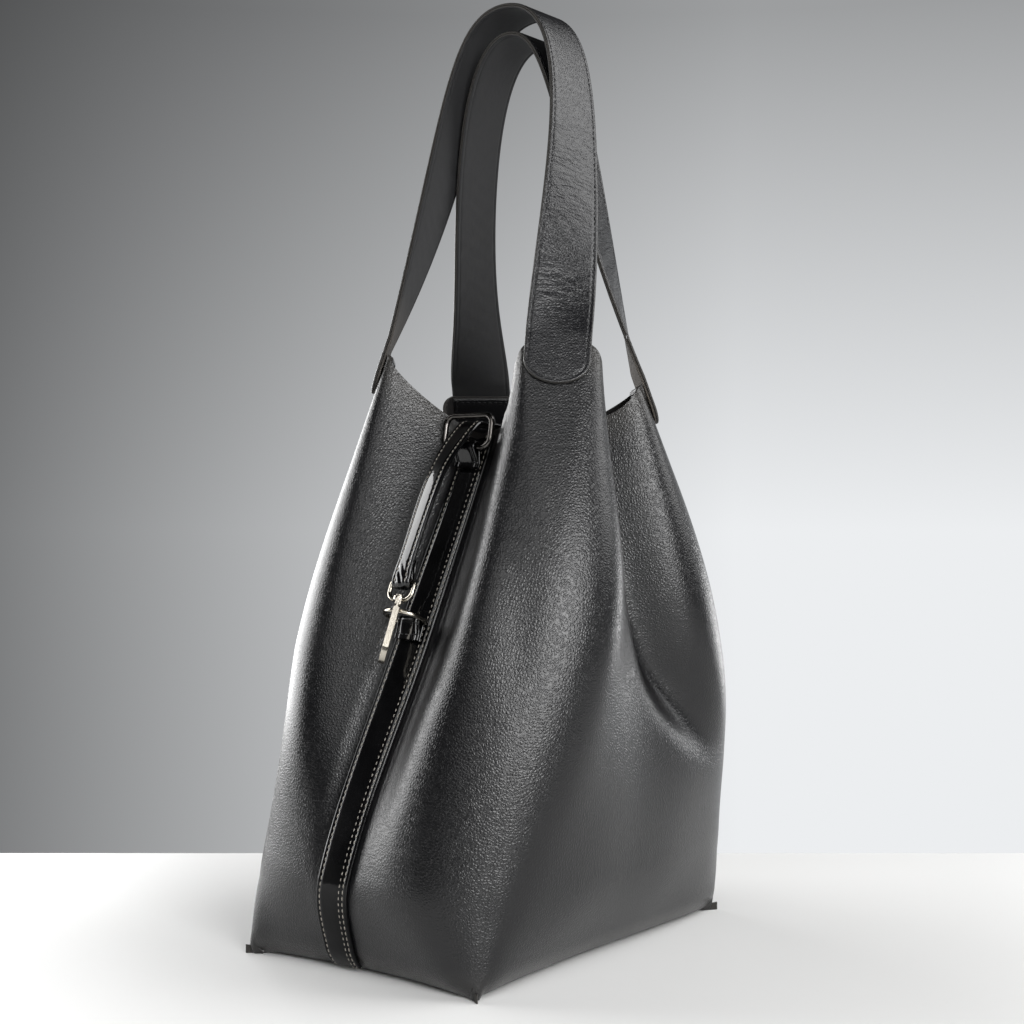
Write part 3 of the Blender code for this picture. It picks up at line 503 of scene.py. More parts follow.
def foot_line(inset, corner_inset, ear):
    """Line under the foot of the walls, drawn in all round and drawn out to the four ears."""
    turn = np.linspace(0, 4, 480, endpoint=False)
    level = facing_out(wall, turn, np.zeros_like(turn))
    level[:, 2] = 0
    away = np.abs(seam_local(turn) - CORNER_LOCAL)
    depth = inset + (corner_inset - inset) * np.exp(-(away / CORNER_SPREAD) ** 2)
    tongue = ear * np.sqrt(np.maximum(0, 1 - (away / EAR_LOCAL) ** 2))
    return wall(turn, np.zeros_like(turn)) + unit(level) * (tongue - depth)[:, None]


def plate(name, line, low, high, face, edge, rubbed):
    """Plate with a given outline, from one height to another, which may change along the outline."""
    count = len(line)
    points = np.concatenate([np.column_stack((line[:, :2], np.broadcast_to(z, count))) for z in (low, high)])
    ring = np.arange(count)
    after = np.roll(ring, -1)
    sides = np.stack((ring, after, after + count, ring + count), -1).tolist()
    mesh = bpy.data.meshes.new(name)
    mesh.from_pydata(points, [], [ring[::-1].tolist(), (ring + count).tolist()] + sides)
    piece = new_piece(name, mesh, face, edge)
    mesh.polygons.foreach_set("material_index", [0, 0] + [1] * count)
    soften_edges(piece, rubbed, 3)
    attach(piece, "bag")
    return piece


def woven_cloth(name, dark, light, thread):
    """Plain-woven cotton glued over board: matt, with a small over-and-under check."""
    material, tree, shader, space = new_finish(name)
    check = add(tree, "ShaderNodeTexChecker", {"Vector": space, "Scale": 1 / thread, "Color1": tint(dark),
                                               "Color2": tint(light)})
    fuzz = add(tree, "ShaderNodeTexNoise", {"Vector": space, "Scale": 1 / thread, "Detail": 4.0})
    height = add(tree, "ShaderNodeMath", {0: check.outputs["Fac"], 1: fuzz.outputs["Fac"]}, operation="ADD")
    bump = add(tree, "ShaderNodeBump", {"Height": height.outputs[0], "Strength": 0.5, "Distance": 0.0003})
    feed(tree, shader, {"Base Color": check.outputs["Color"], "Roughness": 0.9, "Normal": bump.outputs[0]})
    return material


BOARD_CLOTH = woven_cloth("woven_board_cloth", "#2a2522", "#463f3a", thread=0.0009)
base_line = foot_line(BASE_INSET, BASE_CORNER_INSET, EAR_REACH + BASE_CORNER_INSET)
plain_line = foot_line(BASE_INSET, BASE_CORNER_INSET, 0.0)
pinched = np.linalg.norm(base_line - plain_line, axis=1) / (EAR_REACH + BASE_CORNER_INSET)
base = plate("base_leather", base_line, 0.0, BASE_THICKNESS + EAR_RISE * pinched ** 2, BODY_LEATHER,
             CUT_EDGE, 0.0010)
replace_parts(base, "base_panel")
board = plate("base_stiffener", foot_line(BOARD_INSET, BOARD_CORNER_INSET, 0.0), BOARD_FOOT,
              BOARD_FOOT + BOARD_THICKNESS, BOARD_CLOTH, BOARD_CLOTH, 0.0004)
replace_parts(board, "base_board")

# Seam strips: bands of patent leather sewn over the front and back seams, from the foot to the rim.
# The long edges are turned under and stitched with pale thread, with a second row along one side.
STRIP_WIDTH = 0.020
STRIP_THICKNESS = 0.0015
STRIP_LIFT = 0.0005
STRIP_FOOT = 0.010
STRIP_TOP = 0.985
STITCH_INSET = 0.0025
SECOND_ROW = 0.0048
EDGE_ROUND = 0.0009
GROOVE_DEPTH = 0.0003
GROOVE_WIDTH = 0.0005
STRIP_CROWN = 0.0003
PULL_SHARE = 0.50
PULL_SPREAD = 0.035
WRINKLE_HEIGHT = 0.00022
STITCH_PITCH = 0.0032
STITCH_SHARE = 0.74
THREAD_WIDTH = 0.0007
THREAD_LIFT = 0.0001


def across(width):
    """Places across a band, closer together at its turned edges and stitch grooves."""
    half = width / 2
    near_edge = np.array((0, 0.15, 0.4, 0.9, 1.5, 1.9, 2.2, 2.5, 2.8, 3.2)) / 1000
    left = np.concatenate((near_edge, np.linspace(0.0042, half, 5))) - half
    return np.concatenate((left, -left[-2::-1]))


def turned_edge(inside, thickness, groove=STITCH_INSET):
    """Height of a sewn band's face, by the distance in from its edge."""
    part = np.clip(inside / EDGE_ROUND, 0, 1)
    rounded = 0.5 + 0.5 * np.sqrt(1 - (1 - part) ** 2)
    return thickness * rounded - GROOVE_DEPTH * np.exp(-((inside - groove) / GROOVE_WIDTH) ** 2)


def patent_leather(name, colour, peel):
    """Calf under a thick clear varnish: near black, mirror-bright, with a slight orange peel.

    The varnish is worn off where it gets kicked, marked by the scuff attribute.
    """
    material, tree, shader, space = new_finish(name)
    ripple = add(tree, "ShaderNodeTexNoise", {"Vector": space, "Scale": 1 / peel, "Detail": 2.0})
    smear = add(tree, "ShaderNodeTexNoise", {"Vector": space, "Scale": 1 / 0.02, "Detail": 4.0})
    bump = add(tree, "ShaderNodeBump", {"Height": ripple.outputs["Fac"], "Strength": 0.35,
                                        "Distance": 0.0003}).outputs[0]
    gloss = add(tree, "ShaderNodeMapRange", {"Value": smear.outputs["Fac"], "To Min": 0.2, "To Max": 0.5})
    scuff = add(tree, "ShaderNodeAttribute", {}, attribute_name="scuff")
    varnish = add(tree, "ShaderNodeMath", {0: scuff.outputs["Fac"], 1: -0.9, 2: 1.0},
                  operation="MULTIPLY_ADD")
    feed(tree, shader, {"Base Color": tint(colour), "Roughness": gloss.outputs[0], "Specular IOR Level": 0.1,
                        "Coat Weight": varnish.outputs[0], "Coat Roughness": 0.06, "Coat Normal": bump,
                        "Normal": bump})
    return material


def spun_thread(name, dark, light):
    """Waxed polyester thread: satin, with darker lines between its plies."""
    material, tree, shader, space = new_finish(name)
    _, shade = two_tones(tree, space, 0.0004, 2.0, dark, light)
    feed(tree, shader, {"Base Color": shade, "Roughness": 0.55})
    return material


PATENT = patent_leather("black_patent_leather", "#050506", peel=0.005)
PALE_THREAD = spun_thread("pale_waxed_thread", "#57544f", "#a39d93")


def new_tree(name, sizes):
    """Geometry Nodes tree with named inputs, each with its socket type."""
    tree = bpy.data.node_groups.new(name, "GeometryNodeTree")
    tree.interface.new_socket("Geometry", in_out="OUTPUT", socket_type="NodeSocketGeometry")
    tree.interface.new_socket("Geometry", in_out="INPUT", socket_type="NodeSocketGeometry")
    for label, kind in sizes.items():
        tree.interface.new_socket(label, in_out="INPUT", socket_type=kind)
    return tree, add(tree, "NodeGroupInput", {}).outputs


def end_tree(tree, laid, finish):
    """Ends a Geometry Nodes tree with one smooth mesh in one material."""
    real = add(tree, "GeometryNodeRealizeInstances", {"Geometry": laid.outputs[0]})
    smooth = add(tree, "GeometryNodeSetShadeSmooth", {"Geometry": real.outputs[0]})
    finished = add(tree, "GeometryNodeSetMaterial", {"Geometry": smooth.outputs[0], "Material": finish})
    add(tree, "NodeGroupOutput", {"Geometry": finished.outputs[0]})
    return tree


def saddle_stitches():
    """Lays one plump stitch at each step along the runs it is given."""
    number = "NodeSocketFloat"
    tree, given = new_tree("saddle_stitches", {"Pitch": number, "Stitch length": number,
                                               "Thread width": number, "Thread": "NodeSocketMaterial"})
    runs = add(tree, "GeometryNodeMeshToCurve", {"Mesh": given["Geometry"]})
    spaced = add(tree, "GeometryNodeResampleCurve", {"Curve": runs.outputs[0], "Length": given["Pitch"]},
                 mode="LENGTH")
    way = add(tree, "GeometryNodeInputTangent", {})
    turn = add(tree, "FunctionNodeAlignRotationToVector", {"Vector": way.outputs[0]}, axis="X")
    size = add(tree, "ShaderNodeCombineXYZ", {"X": given["Stitch length"], "Y": given["Thread width"],
                                              "Z": given["Thread width"]})
    bead = add(tree, "GeometryNodeMeshUVSphere", {"Segments": 6, "Rings": 5, "Radius": 0.5})
    laid = add(tree, "GeometryNodeInstanceOnPoints",
               {"Points": spaced.outputs[0], "Instance": bead.outputs[0], "Rotation": turn.outputs[0],
                "Scale": size.outputs[0]})
    return end_tree(tree, laid, given["Thread"])


STITCHES = saddle_stitches()


def grow(name, runs, tree, sizes, closed=False):
    """Runs a Geometry Nodes tree on lines of points, and keeps the result as one plain mesh."""
    points, edges = [], []
    for run in runs:
        first, count = len(points), len(run)
        points += [tuple(p) for p in run]
        edges += [(first + k, first + (k + 1) % count) for k in range(count if closed else count - 1)]
    guide = bpy.data.meshes.new(name + "_guide")
    guide.from_pydata(points, edges, [])
    piece = new_piece(name, guide)
    modifier = piece.modifiers.new(tree.name, "NODES")
    modifier.node_group = tree
    for item in tree.interface.items_tree:
        if item.name in sizes:
            modifier[item.identifier] = sizes[item.name]
    made = bpy.data.meshes.new_from_object(piece.evaluated_get(bpy.context.evaluated_depsgraph_get()))
    piece.modifiers.clear()
    piece.data = made
    made.name = name
    bpy.data.meshes.remove(guide)
    return piece


def sew(name, runs, thread, pitch=STITCH_PITCH, width=THREAD_WIDTH):
    """Rows of stitches along the given runs of points."""
    return grow(name, runs, STITCHES, {"Pitch": pitch, "Stitch length": pitch * STITCH_SHARE,
                                       "Thread width": width, "Thread": thread})


def beside_seam(seam, share, offset):
    """Turns at sideways distances from a seam, one row for each height share."""
    reach = np.linspace(-0.2, 0.2, 121)
    distance = run_length(skin(seam + reach[None, :], share[:, None]), 1)
    distance -= distance[:, [len(reach) // 2]]
    return seam + np.stack([np.interp(offset, row, reach) for row in distance])


def strip_height(share, offset):
    """Face of a seam strip over the leather, with wrinkles 5 and 8 mm apart where the hook pulls at it."""
    edge = STRIP_WIDTH / 2
    inside = edge - np.abs(offset)
    crown = STRIP_CROWN * (1 - (offset / edge) ** 2)
    second = GROOVE_DEPTH * np.exp(-((edge - SECOND_ROW - offset) / GROOVE_WIDTH) ** 2)
    pulled = np.exp(-((share - PULL_SHARE) / PULL_SPREAD) ** 2) * smooth_step(0.0, 0.004, inside)
    wrinkles = np.sin(share * 330 + 1.2 * np.sin(offset * 260)) + 0.5 * np.sin(share * 205 - offset * 160)
    face = STRIP_LIFT + turned_edge(inside, STRIP_THICKNESS) + crown - second
    return face + WRINKLE_HEIGHT * pulled * wrinkles


def sew_strip(name, seam, node):
    """One seam strip with its rows of stitches."""
    share = np.linspace(STRIP_FOOT, STRIP_TOP, 170)
    level = share[:, None]
    offset = across(STRIP_WIDTH)
    turn = beside_seam(seam, share, offset)
    outer = skin(turn, level, strip_height(level, offset[None, :]))
    inner = skin(turn, level, STRIP_LIFT)
    uv = np.stack(np.broadcast_arrays(offset[None, :], outer[..., 2]), -1)
    scuff = 1 - smooth_step(0.08, 0.26, level)
    strip = sheet_mesh(name, outer, inner, uv, (PATENT, PATENT, PATENT), scuff=scuff)
    edge = STRIP_WIDTH / 2
    rows = np.array((STITCH_INSET - edge, edge - SECOND_ROW, edge - STITCH_INSET))
    lines = skin(beside_seam(seam, share, rows), level, strip_height(level, rows[None, :]) + THREAD_LIFT)
    stitches = sew(name + "_stitches", lines.transpose(1, 0, 2), PALE_THREAD)
    for piece in (strip, stitches):
        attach(piece, "bag")
    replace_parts(strip, node)


sew_strip("front_strip", 0.0, "front_seam_strip")
sew_strip("back_strip", 2.0, "back_seam_strip")

# Shoulder straps: two plies of calf, glued flesh to flesh and sewn round with black thread.
# Each strap runs from a rounded end sewn on one peak, over the crown, to the other peak of its side.
STRAP_WIDTH = 0.035
PLY = 0.0012
PLY_GAP = 0.0003
STRAP_LIFT = 0.0006
STRAP_STANDOFF = 0.007
SEWN_LENGTH = 0.021
END_CROWN = STRAP_WIDTH * 0.36
ARCH_SHOULDER = 0.120
STRAP_GROOVE = 0.0022
STRAP_STEP = 0.0005
EASE_POINTS = 15
EASE_RISE = 0.006
CRINKLE_HEIGHT = 0.00013
LINING_INSET = 0.0004
FRONT_RIGHT, BACK_RIGHT, BACK_LEFT, FRONT_LEFT = 0.4, 1.6, 2.4, 3.6
ACROSS = np.array((1.0, 0.0, 0.0))


def split_lining(name, dark, light, foot):
    """Buffed split leather: matt and patchy, with a painted highlight mixed in towards the ends by the foot
    attribute.
    """
    material, tree, shader, space = new_finish(name)
    nap, shade = two_tones(tree, space, 0.004, 6.0, dark, light)
    # Painted highlight: the foot attribute mixes in the paler colour towards the strap ends
    end = add(tree, "ShaderNodeAttribute", {}, attribute_name="foot")
    painted_highlight_mix = add(tree, "ShaderNodeMix", {"Factor": end.outputs["Fac"], "A": shade, "B": tint(foot)},
               data_type="RGBA")
    bump = add(tree, "ShaderNodeBump", {"Height": nap, "Strength": 0.4, "Distance": 0.0004})
    feed(tree, shader, {"Base Color": painted_highlight_mix.outputs["Result"], "Roughness": 0.8, "Normal": bump.outputs[0]})
    return material


STRAP_LEATHER = pebbled_leather("black_strap_calf", "#0c0c0e", "#17171a", "#3a3835", grain=0.0014,
                                wrinkle_depth=0.0009)
# The last colour is the painted highlight towards the strap ends
STRAP_LINING = split_lining("grey_split_lining", "#111112", "#1a1a1c", "#57514a")
BLACK_THREAD = spun_thread("black_waxed_thread", "#0c0c0d", "#232325")


def on_peak(peak, height):
    """Point on a peak's outer face at a height, carried straight on above the rim."""
    tall = peak_height(peak) - WALL_FOOT
    share = (height - WALL_FOOT) / tall
    run = wall(peak, 1.0) - wall(peak, 0.98)
    return wall(peak, min(share, 1.0)) + run * (max(share - 1, 0.0) * tall / run[2])


def strap_route(right, left, rise, crown_reach, meet_y, lean, fades):
    """Middle line of a strap from tip to tip, in even steps, with its side and outward ways.

    Fades say how fast each leg turns from the facing of its peak, right and left, to the crown's.
    """
    facing = np.sign(wall(right, 1.0)[1])
    top = float(peak_height(right))
    cut = top + STRAP_STANDOFF
    heights = np.linspace(top - SEWN_LENGTH, cut, 24)
    sewn = [np.array([on_peak(peak, z) for z in heights])
            + facing_out(wall, peak, 1.0) * (STRAP_LIFT + PLY + PLY_GAP / 2) for peak in (right, left)]
    crown = (sewn[0][-1] + sewn[1][-1]) / 2
    crown = np.array((crown[0] + lean, meet_y, cut + rise))
    legs = []
    for line, peak, way in zip(sewn, (right, left), (1, -1)):
        run = on_peak(peak, cut) - wall(peak, 1.0)
        shoulder = line[-1] + run * (ARCH_SHOULDER / run[2])
        shoulder[1] = meet_y
        route = (line[-1], shoulder, crown + ACROSS * (crown_reach * way), crown)
        legs.append(np.concatenate((line, bezier(route, np.linspace(0, 1, 80)[1:, None]))))
    line = np.concatenate((legs[0], legs[1][-2::-1]))
    places = run_length(line, 0)
    even = np.arange(0, places[-1], STRAP_STEP)
    line = along_line(even, places, line)
    spread = np.hanning(2 * EASE_POINTS + 1)
    eased = np.stack([np.convolve(np.pad(line[:, k], EASE_POINTS, "edge"), spread / spread.sum(), "valid")
                      for k in range(3)], -1)
    line = line + (eased - line) * smooth_step(top, top + EASE_RISE, line[:, 2])[:, None]
    run = unit(np.gradient(line, axis=0))
    rest = np.clip(1 - (line[:, 2] - cut) / rise, 0, 1)
    on_right = line[:, 0] > crown[0]
    facings = [math.pi / 2 - PEAKS[int(peak)].facing for peak in (right, left)]
    twist = np.where(on_right, facings[0] * rest ** fades[0], facings[1] * rest ** fades[1])
    lean_x = np.where(on_right, 1, -1) * np.sin(twist)
    side = np.stack((lean_x, -facing * np.cos(twist), 0 * twist), -1)
    side = unit(side - run * (side * run).sum(-1, keepdims=True)) * -facing
    return {"places": even, "line": line, "side": side, "out": np.cross(side, run), "cut": cut}


def on_strap(route, place, offset, height):
    """Points at distances along a strap, offsets to its side and heights off its middle."""
    at = [along_line(place, route["places"], route[part]) for part in ("line", "side", "out")]
    return at[0] + at[1] * offset[..., None] + at[2] * height[..., None]


def strap_ply(name, route, way, width, finishes, painted_highlight_ends):
    """One ply of a strap, outwards or inwards of its middle, with rounded ends and pressed edges.

    Its last argument gives how strong the painted highlight is at its first and its last end.
    """
    length = route["places"][-1]
    tip = END_CROWN * (1 - np.cos(np.radians(np.linspace(4, 90, 16))))
    place = np.concatenate((tip, np.linspace(END_CROWN, length - END_CROWN, 220)[1:-1], length - tip[::-1]))
    place = place[:, None]
    to_tip = np.minimum(place, length - place)
    near_tip = np.maximum(0, 1 - to_tip / END_CROWN)
    half = width / 2
    share = across(width)[None, :] / half
    offset = share * half * np.sqrt(1 - near_tip ** 2)
    inside = (1 - np.sqrt(share ** 2 * (1 - near_tip ** 2) + near_tip ** 2)) * half
    bent = smooth_step(0.035, 0.06, to_tip) * (1 - smooth_step(0.13, 0.19, to_tip))
    bent = bent * smooth_step(0, 0.005, inside)
    crinkle = np.sin(place * 620 + 3 * np.sin(offset * 210)) + np.sin(place * 371 - offset * 160 + 1.3)
    height = PLY_GAP / 2 + turned_edge(inside, PLY, STRAP_GROOVE) + CRINKLE_HEIGHT * bent * crinkle
    place = place + 0 * offset
    outer = on_strap(route, place, offset * way, height * way)
    inner = on_strap(route, place, offset * way, 0 * height + way * PLY_GAP / 2)
    # Painted highlight towards each end of the lining, as strong as the last argument gives
    foot = (1 - smooth_step(0.025, 0.065, to_tip)) * np.where(place < length / 2, *painted_highlight_ends)
    wear = 0.8 * (1 - smooth_step(0.0, 0.0012, inside))
    uv = np.stack((offset, place), -1)
    return sheet_mesh(name, outer, inner, uv, finishes, pull=0.2 + 0.8 * bent, wear=wear, foot=foot)


def strap_stitches(name, route):
    """Stitches all round a strap, in the groove inside its edge."""
    length = route["places"][-1]
    half, crown = STRAP_WIDTH / 2 - STRAP_GROOVE, END_CROWN - STRAP_GROOVE
    angle = np.radians(np.linspace(-90, 90, 40))
    straight = np.linspace(END_CROWN, length - END_CROWN, 400)[1:-1]
    place = np.concatenate((END_CROWN - crown * np.cos(angle), straight,
                            length - END_CROWN + crown * np.cos(angle), straight[::-1]))
    round_end, edge = half * np.sin(angle), np.full_like(straight, half)
    offset = np.concatenate((round_end, edge, -round_end, -edge))
    height = np.full_like(place, PLY_GAP / 2 + PLY - GROOVE_DEPTH + THREAD_LIFT)
    run = on_strap(route, place, offset, height)
    return sew(name, [np.concatenate((run, run[:1]))], BLACK_THREAD, 0.0033, 0.0006)


def hang_strap(label, route, painted_highlight_ends):
    """Outer ply, lining and stitches of one strap."""
    body = label + "_handle"
    plies = (("face", 1, STRAP_WIDTH, STRAP_LEATHER),
             ("lining", -1, STRAP_WIDTH - LINING_INSET, STRAP_LINING))
    outer, lining = [strap_ply(label + "_strap_" + ply, route, way, width, (face, CUT_EDGE, FLESH_SIDE),
                               painted_highlight_ends) for ply, way, width, face in plies]
    stitches = strap_stitches(label + "_strap_stitches", route)
    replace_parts(outer, body + "_strap", label + "_right_handle_end", label + "_left_handle_end")
    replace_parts(lining, body + "_lining")
    for piece, finish in ((outer, "body_leather"), (lining, "strap_lining"), (stitches, "body_leather")):
        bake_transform(piece)


front_route = strap_route(FRONT_RIGHT, FRONT_LEFT, rise=0.187, crown_reach=0.042, meet_y=0.001, lean=0.001,
                          fades=(2.0, 2.0))
back_route = strap_route(BACK_RIGHT, BACK_LEFT, rise=0.190, crown_reach=0.030, meet_y=0.006, lean=0.004,
                         fades=(2.0, 7.0))
# Painted highlights on the lining: at the front strap's left end and the back strap's right end
hang_strap("front", front_route, painted_highlight_ends=(0.0, 0.45))
hang_strap("back", back_route, painted_highlight_ends=(1.0, 0.0))

# Backing patches: oblongs of the same calf glued and sewn inside the peaks, behind the strap ends.
# They spread the pull of the straps, and their stitches are those of the strap ends coming through.
PATCH_WIDTH = 0.034
PATCH_LENGTH = 0.020
PATCH_THICKNESS = 0.0012


def back_patch(name, peak):
    """Patch inside one peak, with its stitches."""
    top = float(peak_height(peak)) - WALL / 4
    level = np.linspace(top - PATCH_LENGTH, top, 24)[:, None]
    offset = across(PATCH_WIDTH)[None, :]
    middle = np.array([on_peak(peak, z) for z in level[:, 0]])[:, None, :]
    side = unit(wall(peak + 0.02, 1.0) - wall(peak - 0.02, 1.0))
    inwards = -facing_out(wall, peak, 1.0)
    inside = np.minimum(PATCH_WIDTH / 2 - np.abs(offset), np.minimum(level - top + PATCH_LENGTH, top - level))
    seat = WALL + STRAP_LIFT
    height = seat + turned_edge(inside, PATCH_THICKNESS, STRAP_GROOVE)
    spot = middle - side * offset[..., None]
    outer = spot + inwards * height[..., None]
    inner = spot + inwards * seat
    uv = np.stack(np.broadcast_arrays(offset, level), -1)
    patch = sheet_mesh(name, outer, inner, uv, HIDE, wear=0.0, pull=0.1)
    half, low, high = PATCH_WIDTH / 2 - STRAP_GROOVE, top - PATCH_LENGTH + STRAP_GROOVE, top - STRAP_GROOVE
    corners = [on_peak(peak, z) + side * o + inwards * (seat + PATCH_THICKNESS)
               for o, z in ((-half, low), (half, low), (half, high), (-half, high), (-half, low))]
    stitches = sew(name + "_stitches", [corners], BLACK_THREAD)
    for piece in (patch, stitches):
        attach(piece, "bag")
    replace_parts(patch, name.replace("_patch", "_backing_patch"))


for label, peak in (("front_right", FRONT_RIGHT), ("back_right", BACK_RIGHT),
                    ("back_left", BACK_LEFT), ("front_left", FRONT_LEFT)):
    back_patch(label + "_patch", peak)

# Rings: a gunmetal slot ring at the rim and a nickel D-ring lower down, bent from round wire.
# The joints of the frame give the line of each straight bar, which sits in the fold of its tab.
SLOT_WIRE = 0.0034
SLOT_WIDTH = 0.035
SLOT_HEIGHT = 0.021
SLOT_CORNER = 0.005
SLOT_LEAN = math.radians(10.0)
D_WIRE = 0.0024
D_WIDTH = 0.024
D_REACH = 0.0165
D_CORNER = 0.0024
pivot = {joint["name"]: np.array(joint["pos_m"]) for joint in frame["joints"]}
seam_down = next(np.array(joint["axis"]) for joint in frame["joints"] if joint["name"] == "hook_swivel")
seam_out = np.cross(seam_down, ACROSS)
slot_bar, d_bar, hook = pivot["slot_ring_swing"], pivot["d_ring_swing"], pivot["hook_swivel"]
slot_up = np.array((0, math.sin(SLOT_LEAN), math.cos(SLOT_LEAN)))


def plated_metal(name, dark, light, roughness, scuff):
    """Polished plate over zinc: clear reflections, broken up a little by fine rubbing marks."""
    material, tree, shader, space = new_finish(name)
    cloud, shade = two_tones(tree, space, 0.003, 5.0, dark, light)
    gloss = add(tree, "ShaderNodeMapRange", {"Value": cloud, "To Min": roughness - scuff,
                                             "To Max": roughness + scuff})
    marks = add(tree, "ShaderNodeTexNoise", {"Vector": space, "Scale": 1 / 0.0008, "Detail": 2.0})
    bump = add(tree, "ShaderNodeBump", {"Height": marks.outputs["Fac"], "Strength": 0.08, "Distance": 0.0001})
    feed(tree, shader, {"Base Color": shade, "Metallic": 1.0, "Roughness": gloss.outputs[0],
                        "Normal": bump.outputs[0]})
    return material


GUNMETAL = plated_metal("polished_gunmetal_plate", "#4b4947", "#6a6764", roughness=0.22, scuff=0.08)
NICKEL = plated_metal("polished_nickel_plate", "#a7a196", "#c9c3b8", roughness=0.18, scuff=0.07)


def bent_wire():
    """Round wire along a line of points."""
    tree, given = new_tree("bent_wire", {"Diameter": "NodeSocketFloat", "Plate": "NodeSocketMaterial"})
    line = add(tree, "GeometryNodeMeshToCurve", {"Mesh": given["Geometry"]})
    radius = add(tree, "ShaderNodeMath", {0: given["Diameter"], 1: 0.5}, operation="MULTIPLY")
    section = add(tree, "GeometryNodeCurvePrimitiveCircle", {"Resolution": 20, "Radius": radius.outputs[0]})
    wire = add(tree, "GeometryNodeCurveToMesh",
               {"Curve": line.outputs[0], "Profile Curve": section.outputs[0], "Fill Caps": True})
    return end_tree(tree, wire, given["Plate"])


WIRE = bent_wire()


def arc(centre, radius, u, v, start, end, steps):
    """Points of an arc from the way u, at 0 degrees, towards the way v, at 90."""
    angle = np.radians(np.linspace(start, end, steps + 1))[:, None]
    return centre + (u * np.cos(angle) + v * np.sin(angle)) * radius


def rounded_line(centre, u, v, half, low, high, foot, head):
    """Closed line round a rectangle, with its own round at the low and the high corners."""
    corners = ((half - foot, low + foot, foot, -90), (half - head, high - head, head, 0),
               (head - half, high - head, head, 90), (foot - half, low + foot, foot, 180))
    return np.concatenate([arc(centre + u * a + v * b, radius, u, v, start, start + 90, 12)
                           for a, b, radius, start in corners])


slot_line = rounded_line(slot_bar, ACROSS, slot_up, (SLOT_WIDTH - SLOT_WIRE) / 2, 0.0,
                         SLOT_HEIGHT - SLOT_WIRE, SLOT_CORNER, SLOT_CORNER)
d_half = (D_WIDTH - D_WIRE) / 2
d_line = [arc(d_bar + seam_out * (D_REACH - d_half), d_half, ACROSS, seam_out, 0, 180, 36)]
for way, first in ((-1, 180), (1, 270)):
    d_corner = d_bar + ACROSS * (way * (d_half - D_CORNER)) + seam_out * D_CORNER
    d_line.append(arc(d_corner, D_CORNER, ACROSS, seam_out, first, first + 90, 10))
for name, line, diameter, plate_finish, body, node, finish in (
        ("slot_ring_wire", slot_line, SLOT_WIRE, GUNMETAL, "slot_ring_body", "slot_ring", "gunmetal"),
        ("d_ring_wire", np.concatenate(d_line), D_WIRE, NICKEL, "d_ring_body", "d_ring", "nickel")):
    ring = grow(name, [line], WIRE, {"Diameter": diameter, "Plate": plate_finish}, closed=True)
    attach(ring, body)
    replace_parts(ring, node)

# Ring tabs: short patent straps folded round the bars of the rings and sewn down on the seam strip.
# A box of stitches at the tail holds both plies.
TAB_WIDTH = 0.015
TAB_THICKNESS = 0.0014
TAB_TAIL = 0.010
TAB_HELD = 0.7
TAB_PITCH = 0.0026
TAB_TWIST = math.radians(8.0)
FIT = 0.0003


def seam_share(height):
    """Share of the front seam's height."""
    return (height - WALL_FOOT) / (FRONT_RIM_HEIGHT - WALL_FOOT)


def seam_ways(height):
    """Point on the front seam at a height, with the outward and downward ways there."""
    out = facing_out(wall, 0.0, seam_share(height))
    out[0] = 0
    out = unit(out)
    return wall(0.0, seam_share(height)), out, np.cross(ACROSS, out)


def ribbon_ways(path, twist=0.0):
    """Sideways and outward ways along a strap, turned by a twist about its run."""
    run = unit(np.gradient(path, axis=0))
    face = np.cross(run, ACROSS)
    twist = np.broadcast_to(twist, len(path))[:, None]
    return ACROSS * np.cos(twist) + face * np.sin(twist), face * np.cos(twist) - ACROSS * np.sin(twist)


def ribbon(name, path, widths, thickness, groove, finish, crumple=0.0, dome=0.0, twist=0.0):
    """Flat strap bent in a plane of constant X, with turned edges; its outer face is left of its run."""
    side, face = [way[:, None, :] for way in ribbon_ways(path, twist)]
    share = across(widths.max()) / (widths.max() / 2)
    offset = widths[:, None] / 2 * share[None, :]
    inside = widths[:, None] / 2 - np.abs(offset)
    place = run_length(path, 0)[:, None]
    crumple, dome = [np.broadcast_to(value, len(path))[:, None] for value in (crumple, dome)]
    crumpled = crumple * np.sin(place * 900 + 5 * np.sin(offset * 400)) * smooth_step(0, 0.003, inside)
    level = turned_edge(inside, thickness, groove) - thickness / 2
    height = level + crumpled + dome * (1 - share ** 2)
    back = level - crumpled - dome * (1 - share ** 2)
    spot = path[:, None, :] - side * offset[..., None]
    uv = np.stack((offset, place + 0 * offset), -1)
    return sheet_mesh(name, spot + face * height[..., None], spot - face * back[..., None], uv, (finish,) * 3)


